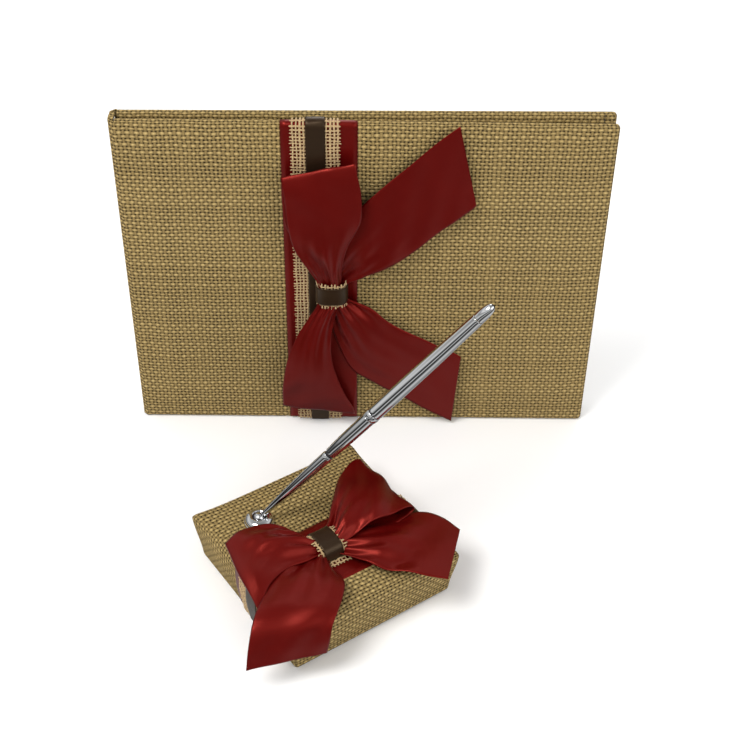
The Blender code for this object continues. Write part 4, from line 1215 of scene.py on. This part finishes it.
# %% Stations of the book's bow
BOOK_STATIONS = {
    "upper_loop": [
        (-0.5, 0, 5.2, 0, 5.6, 0.4, 0.9), (-1, 7.7, 5.8, 0, 6.2, 0.6, 1), (-3, 17.5, 7.6, 0, 8.6, 1.2, 0.8),
        (-5, 31.9, 9.4, 2, 13.6, 1.8, 0.4), (-3.2, 47, 10, 3, 18.4, 1.5, 0.1), (-3.6, 61, 9, 7, 19.2, 1, 0),
        (-5.2, 71, 7.6, 11, 18.9, 0.5, 0), (-6, 75.4, 5.8, 12.5, 18.9, 0.2, 0),
        (-5.8, 72, 3.9, 11.5, 18.9, 0, 0), (-6.2, 57, 2.9, 6, 18.4, 0, 0), (-7.2, 39, 2.5, 2, 15.2, 0, 0),
        (-4, 21.2, 2.3, 0, 9, 0, 0.3), (-1.5, 7.7, 2.5, 0, 5.5, 0, 0.3), (0, 1, 2.7, 0, 5, 0, 0.3)],
    "lower_loop": [
        (-0.5, 0, 5.2, 0, 5.6, 0.4, 0.9), (-1.5, -6.3, 5.8, 0, 6, 0.6, 1),
        (-5, -13.3, 7.6, 0, 6.9, 1.2, 0.8), (-9.5, -25, 9.6, 0, 9.2, 2, 0.5),
        (-12, -40, 10.8, 0, 12, 2.4, 0.2), (-11.6, -53, 10.6, -2, 14.7, 1.8, 0),
        (-10, -65, 9.4, -5, 17.6, 1, 0), (-8, -75, 7.6, -7, 19.8, 0.4, 0),
        (-7.6, -80, 5.8, -8, 20.2, 0.2, 0), (-7.4, -76, 4, -8, 20, 0, 0), (-5, -61, 3, -6, 18.6, 0, 0),
        (-3.2, -43, 2.6, -3, 15.6, 0, 0), (-1, -23.1, 2.3, 0, 9.5, 0, 0.2), (0, -10.2, 2.3, 0, 6, 0, 0.3),
        (0, -1, 2.7, 0, 5, 0, 0.3)],
    "upper_tail": [
        (0.5, 0, 2.2, 0, 5.2, 0, 0.5), (2.5, 6.5, 2.6, -12, 5.8, 0.3, 0.9), (8, 15, 3.2, -32, 9.8, 1, 1.1),
        (15.5, 25.5, 4.2, -45, 15, 1.9, 0.7), (25, 36, 4.2, -48, 18.6, 1.8, 0.3),
        (38, 48.5, 3, -48, 19.6, 0.9, 0.1), (54, 63, 2.2, -55, 20.3, 0.4, 0),
        (68.3, 76.2, 2, -77, 23, 0.2, 0)],
    "lower_tail": [
        (0.5, 0, 2.2, 0, 5.2, 0, 0.5), (2.5, -5.5, 2.6, 12, 5.8, 0.3, 0.9),
        (6.5, -11.7, 3.2, 30, 9, 1, 1.1), (12.5, -22.1, 3.8, 47, 14.5, 1.6, 0.7),
        (21.5, -36.5, 3.6, 57, 19, 1.2, 0.2), (34, -45.5, 3, 60, 20, 0.8, 0.1),
        (50, -55.5, 2.4, 64, 20.6, 0.4, 0), (68.8, -67.5, 2, 86, 23.4, 0.2, 0)],
}

# %% Stations of the stand's bow
STAND_STATIONS = {
    "left_loop": [
        (-0.5, -0.4, 5.2, 0, 5.8, 0.4, 0.9), (-1.5, -7, 6.2, 0, 7.4, 0.8, 1.1),
        (-5, -13, 8.8, 0, 11.2, 1.8, 0.8), (-8.6, -23, 10.6, -2, 14.2, 2.6, 0.5),
        (-7.4, -34, 10.8, -6, 17.0, 2.0, 0.2), (-4.2, -41.5, 9.2, -9, 20.0, 1.0, 0),
        (-2.5, -45.5, 6.6, -10.5, 21.6, 0.3, 0), (-2.5, -42, 4.2, -10, 21, 0, 0),
        (-2, -30, 2.6, -5, 18.5, 0, 0), (-1, -16, 2.3, 0, 11.5, 0, 0.2), (0, -7, 2.4, 0, 6, 0, 0.3),
        (0, -0.5, 2.7, 0, 5, 0, 0.3)],
    "right_loop": [
        (-0.5, 0.4, 5.2, 0, 5.8, 0.4, 0.9), (-1.5, 7, 6.4, 0, 7.2, 0.8, 1.1), (-5, 14, 9.0, 0, 10.8, 2.0, 0.8),
        (-9.5, 25, 11.4, 2, 16.5, 2.6, 0.4), (-12.8, 35, 11.2, 2, 19.8, 2.0, 0.1),
        (-14.5, 42.5, 9.2, 2.5, 21.4, 1.0, 0), (-14.6, 46.5, 6.6, 2.5, 21.8, 0.3, 0),
        (-14, 42.5, 4.2, 2.5, 21.4, 0, 0), (-10, 30, 2.6, 2, 18.5, 0, 0), (-5, 17, 2.3, 0, 12, 0, 0.2),
        (-1, 7, 2.4, 0, 6, 0, 0.3), (0, 0.5, 2.7, 0, 5, 0, 0.3)],
    "left_tail": [
        (0.5, -0.4, 2.0, 0, 5.2, 0, 0.5), (3.5, -6, 2.8, 14, 7.4, 0.6, 1.0),
        (9.5, -12, 4.4, 32, 12.4, 1.5, 1.0), (17, -20, 6.4, 46, 17.0, 1.8, 0.5),
        (24.5, -28, 6.6, 53, 18.3, 1.2, 0.2), (30.5, -35, 6.4, 56, 18.6, 0.5, 0),
        (35.2, -40.8, 3.0, 62, 18.8, 0.2, 0), (37.6, -44.2, -4.8, 67, 19, 0, 0),
        (38.8, -46.4, -13.5, 72, 19.1, 0, 0)],
    "right_tail": [
        (0.5, 0.4, 2.0, 0, 5.2, 0, 0.5), (3.5, 6, 2.8, -14, 7.4, 0.6, 1.0), (8.5, 14, 3.8, -28, 12.2, 1.5, 1.0),
        (14, 24, 4.2, -40, 17.4, 1.9, 0.5), (21, 35.5, 3.0, -45, 20.2, 1.2, 0.2),
        (30, 44.5, 1.6, -47, 20.0, 0.6, 0), (37.5, 50.2, -0.4, -47, 16.8, 0.2, 0)],
}
for order, (part, stations) in enumerate(BOOK_STATIONS.items()):
    ribbon_piece("book_" + part, book_bow, stations, "front_cover", "book_bow_" + part, 40 + order)
for order, (part, stations) in enumerate(STAND_STATIONS.items()):
    ribbon_piece("stand_" + part, stand_bow, stations, "pen_stand", "stand_bow_" + part, 60 + order,
                 0.6 if part == "left_loop" else 0.0, 0.34)
print("bow pieces:", len(BOOK_STATIONS) + len(STAND_STATIONS))

# %% [markdown]
# ## Knot wraps
# A short piece of the burlap strip goes over the bow's middle with its cut ends frayed, and a brown
# satin band holds it down. Both are strips laid over one small hump.

# %% Wraps
KNOT_REACH, KNOT_RISE, KNOT_HALF = 0.0079, 0.0074, 0.0070


def knot_wraps(prefix, frame_of, body, seed):
    def hump(reach, rise):
        angle = np.linspace(math.pi, 0, 90)[:, None]
        side = np.linspace(-0.0095, 0.0095, 21)[None]
        belly = 1 - 0.06 * np.cos(side / 0.0095 * math.pi / 2)
        b = reach * np.sign(np.cos(angle)) * np.abs(np.cos(angle)) ** 0.62 * belly
        o = rise * np.abs(np.sin(angle)) ** 0.62 * belly
        points = frame_of(np.stack(np.broadcast_arrays(b, side, o), -1))
        run = np.linalg.norm(np.diff(points[:, 10], axis=0), axis=1).cumsum()
        strip = {"points": points, "normals": grid_normals(points), "across": side[0],
                 "along": np.concatenate([[0], run])}
        return turned_out(strip, frame_of(np.array([0, 0, 1.0])) - frame_of(np.zeros(3)))

    inner, outer = hump(KNOT_REACH, KNOT_RISE), hump(KNOT_REACH + 0.0010, KNOT_RISE + 0.0011)
    weave = woven_strip(prefix + "_knot_weave", inner, -KNOT_HALF, KNOT_HALF, 0.0003, body,
                        prefix + "_bow_knot_burlap", pitch=0.00165, fray=0.0010, seed=seed)
    band = satin_strip(prefix + "_knot_band", outer, -KNOT_HALF * 0.74, KNOT_HALF * 0.74, 0.0002,
                       BROWN, body, prefix + "_bow_knot_satin")


knot_wraps("book", book_bow, "front_cover", 81)
knot_wraps("stand", stand_bow, "pen_stand", 82)

# %% [markdown]
# ## Chrome: the funnel, the ball and the pen
# Turned parts are made by spinning an outline round an axis. The outlines are read from the
# mechanical parts, drawn through smoothly, and given a small rounded lip at each end, because a
# sharp edge on chrome never catches the light.


# %% Outline of a mechanical part, and a finely turned copy
def outline_of(node, origin, axis):
    """(distance along the axis, radius) of the outside of a turned node: its upper hull."""
    points = np.array([vertex.co for vertex in frame["nodes"][node].data.vertices]) - np.array(origin)
    along = points @ np.array(axis)
    radius = np.linalg.norm(points - along[:, None] * np.array(axis), axis=1)
    hull = []
    for t, r in sorted(zip(np.round(along, 5), np.round(radius, 6))):
        while hull and hull[-1][0] == t and hull[-1][1] <= r:
            hull.pop()
        while len(hull) > 1 and ((hull[-1][0] - hull[-2][0]) * (r - hull[-2][1])
                                 >= (hull[-1][1] - hull[-2][1]) * (t - hull[-2][0])):
            hull.pop()
        hull.append((t, r))
    return hull


def turned_piece(name, profile, origin, axis, body, node, material, segments=72):
    axis = Vector(axis).normalized()
    side = axis.orthogonal().normalized()
    other = axis.cross(side)
    angles = np.linspace(0, math.tau, segments + 1)
    spokes = np.outer(np.cos(angles), side) + np.outer(np.sin(angles), other)
    profile = np.array(profile)
    points = (np.array(origin) + profile[:, None, :1] * np.array(axis)
              + profile[:, None, 1:2] * spokes[None])
    run = np.concatenate([[0], np.cumsum(np.linalg.norm(np.diff(profile, axis=0), axis=1))])
    flat = np.stack(np.broadcast_arrays(angles[None] * 0.003, run[:, None]), -1)
    quads = grid_quads(len(profile), segments + 1)
    count = len(profile) * (segments + 1)
    points, quads, flats = merged(points.reshape(-1, 3), quads, flat.reshape(count, 2))
    return make_piece(name, points, quads[:, ::-1], flats[:, ::-1], material, body, (node,))


def lipped(outline, bore, fullness=0.0, lip=0.00018, detail=60):
    """A smooth outline with rounded ends that turn in to the bore."""
    outline = np.array(outline)
    stations = np.column_stack([outline, np.zeros(len(outline))])
    rows, _ = smooth_through(stations, detail)
    rows[:, 1] += fullness * np.sin(math.pi * np.linspace(0, 1, detail) ** 0.75)
    start, end = rows[0, :2], rows[-1, :2]
    body = rows[(rows[:, 0] > start[0] + lip) & (rows[:, 0] < end[0] - lip), :2]
    quarter = np.linspace(0, math.pi / 2, 6)
    first = [(start[0] + lip * (1 - math.sin(a)), start[1] - lip * (1 - math.cos(a))) for a in quarter]
    last = [(end[0] - lip * (1 - math.sin(a)), end[1] - lip * (1 - math.cos(a))) for a in quarter]
    return ([(start[0] + lip * 2, bore), (start[0], bore)] + first[::-1] + body.tolist()
            + last + [(end[0], bore), (end[0] - lip * 2, bore)])


# %% The pen's pieces
PEN_AXIS = Vector(JOINTS["pen_pull"]["axis"]).normalized()
PEN_PARTS = (("pen_nose_cone", "pen", 0.0006, 0.00038), ("pen_front_barrel", "pen", 0.0018, 0),
             ("pen_centre_ring", "pen", 0.0018, 0), ("pen_upper_barrel", "pen_top", 0.0022, 0))
for node, body, bore, fullness in PEN_PARTS:
    outline = outline_of(node, BALL, PEN_AXIS)
    turned_piece(node.replace("pen_", "pen_chrome_"), lipped(outline, bore, fullness), BALL, PEN_AXIS,
                 body, node, CHROME)
    print(node, [(round(float(t) * 1000, 1), round(float(r) * 1000, 2)) for t, r in outline])


def end_cap():
    outline = outline_of("pen_end_cap", BALL, PEN_AXIS)
    start, top = outline[0], outline[-1][0]
    reach = top - start[0]
    steps = np.linspace(0, 1, 26)
    dome = [(start[0] + reach * x, start[1] * math.sqrt(max(0.0, 1 - x ** 3.2))) for x in steps]
    turned_piece("pen_chrome_end_cap", [(start[0], 0.0)] + dome[:-1] + [(top, 0.0)], BALL, PEN_AXIS,
                 "pen_top", "pen_end_cap", CHROME)


end_cap()

# %% The funnel and the ball
UP = Vector((0, 0, 1))
dome_low, dome_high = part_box("funnel_dome")
dome_top, DOME_RADIUS = dome_high.z, (dome_high.x - dome_low.x) / 2
DOME_BASE = min(t for t, r in outline_of("funnel_dome", (BALL.x, BALL.y, 0), UP)
                if r > DOME_RADIUS - 5e-5)


def funnel_profile():
    """Up the outside of the low dome, over a rolled lip and down into the ball's socket."""
    rise = dome_top - DOME_BASE
    flange = [(DOME_BASE, 0.0050), (DOME_BASE, DOME_RADIUS - 0.0002), (DOME_BASE + 0.0002, DOME_RADIUS),
              (DOME_BASE + 0.0006, DOME_RADIUS), (DOME_BASE + 0.0009, DOME_RADIUS - 0.0002)]
    sweep = np.linspace(0, 1, 24)
    start, lip = DOME_RADIUS - 0.0003, 0.0038
    bowl = [(DOME_BASE + 0.0009 + (rise - 0.0009) * math.sin(x * math.pi / 2),
             start + (lip - start) * (1 - math.cos(x * math.pi / 2))) for x in sweep]
    inside = [(dome_top - 0.0002, 0.00345), (dome_top - 0.0008, 0.00330), (dome_top - 0.0030, 0.00335)]
    return flange + bowl + inside


turned_piece("funnel_chrome", funnel_profile(), (BALL.x, BALL.y, 0), UP, "pen_stand", "funnel_dome",
             CHROME)
ball_low, ball_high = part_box("swivel_ball")
BALL_RADIUS = max(ball_high - ball_low) / 2
polar = np.linspace(0.47, math.pi - 0.47, 34)
turned_piece("ball_chrome", [(-BALL_RADIUS * math.cos(a), BALL_RADIUS * math.sin(a)) for a in polar],
             BALL, PEN_AXIS, "swivel_ball", "swivel_ball", CHROME, 64)

# %% [markdown]
# ## Padding slabs and hidden parts
# Everything that stays as a mechanical part gets its real finish here, hidden or not, because the
# pages turn and the pen comes apart when the joints move.


# %% Cover padding
def cover_batting(node, place, body, ribbon):
    low, high = (HINGE_GAP + 0.0012, -0.0023, 0.0012), (COVER_WIDE - 0.0012, -0.0009, COVER_TALL - 0.0012)
    points, quads, flats = box_skin(low, high, 0.004)
    shaped = rounded(points, low, high, 0.0006)
    outer = points[:, 1] > -0.00095
    shaped[:, 1] += np.where(outer, np.clip(cover_rise(points[:, 0], points[:, 2], ribbon) - 0.0003, 0, 1), 0)
    flip = -1 if mirrors(place) else 1
    piece = make_piece(node.replace("padding", "batting"), place(shaped), quads[:, ::flip],
                       flats[:, ::flip], BATTING, body, (node,))


cover_batting("front_padding", front_place, "front_cover", True)
cover_batting("back_padding", back_place, "back_cover", False)

# %% Better finishes on the mechanical parts that stay
FINISHES = {
    "front_board": BOARD, "back_board": BOARD, "spine_board": BOARD, "front_pastedown": PAPER,
    "back_pastedown": PAPER, "spine_lining": PAPER, "stand_block": WOOD, "stand_felt": FELT,
    "funnel_screw": STEEL, "swivel_seat": NYLON, "pen_joint_ring": NYLON, "pen_twist_cam": BRASS,
    "pen_refill_tube": REFILL, "pen_refill_tip": STEEL,
}
for node, material in FINISHES.items():
    frame["nodes"][node].data.materials.clear()
    frame["nodes"][node].data.materials.append(material)

# %% [markdown]
# ## Floor
# A plain pale floor, so large that its edge is never seen.

# %% Floor
FLOOR_HALF, FLOOR_DROP = 3.0, 0.0003


def pale_floor():
    material, tree, shader = start_material("pale_floor", Roughness=0.6)
    fibre = use_group(tree, FIBRE, own_space(tree), Fine=300.0, Slow=4.0)
    link(tree, mix_colour(tree, fibre["Blotch"], (0.93, 0.93, 0.93), (0.95, 0.95, 0.95)),
         shader.inputs["Base Color"])
    mesh = bpy.data.meshes.new("floor")
    reach = FLOOR_HALF
    mesh.from_pydata([(-reach, -reach, -FLOOR_DROP), (reach, -reach, -FLOOR_DROP),
                      (reach, reach, -FLOOR_DROP), (-reach, reach, -FLOOR_DROP)], [], [(0, 1, 2, 3)])
    mesh.materials.append(material)
    floor = bpy.data.objects.new("floor", mesh)
    floor.visible_glossy = False
    bpy.context.scene.collection.objects.link(floor)


pale_floor()
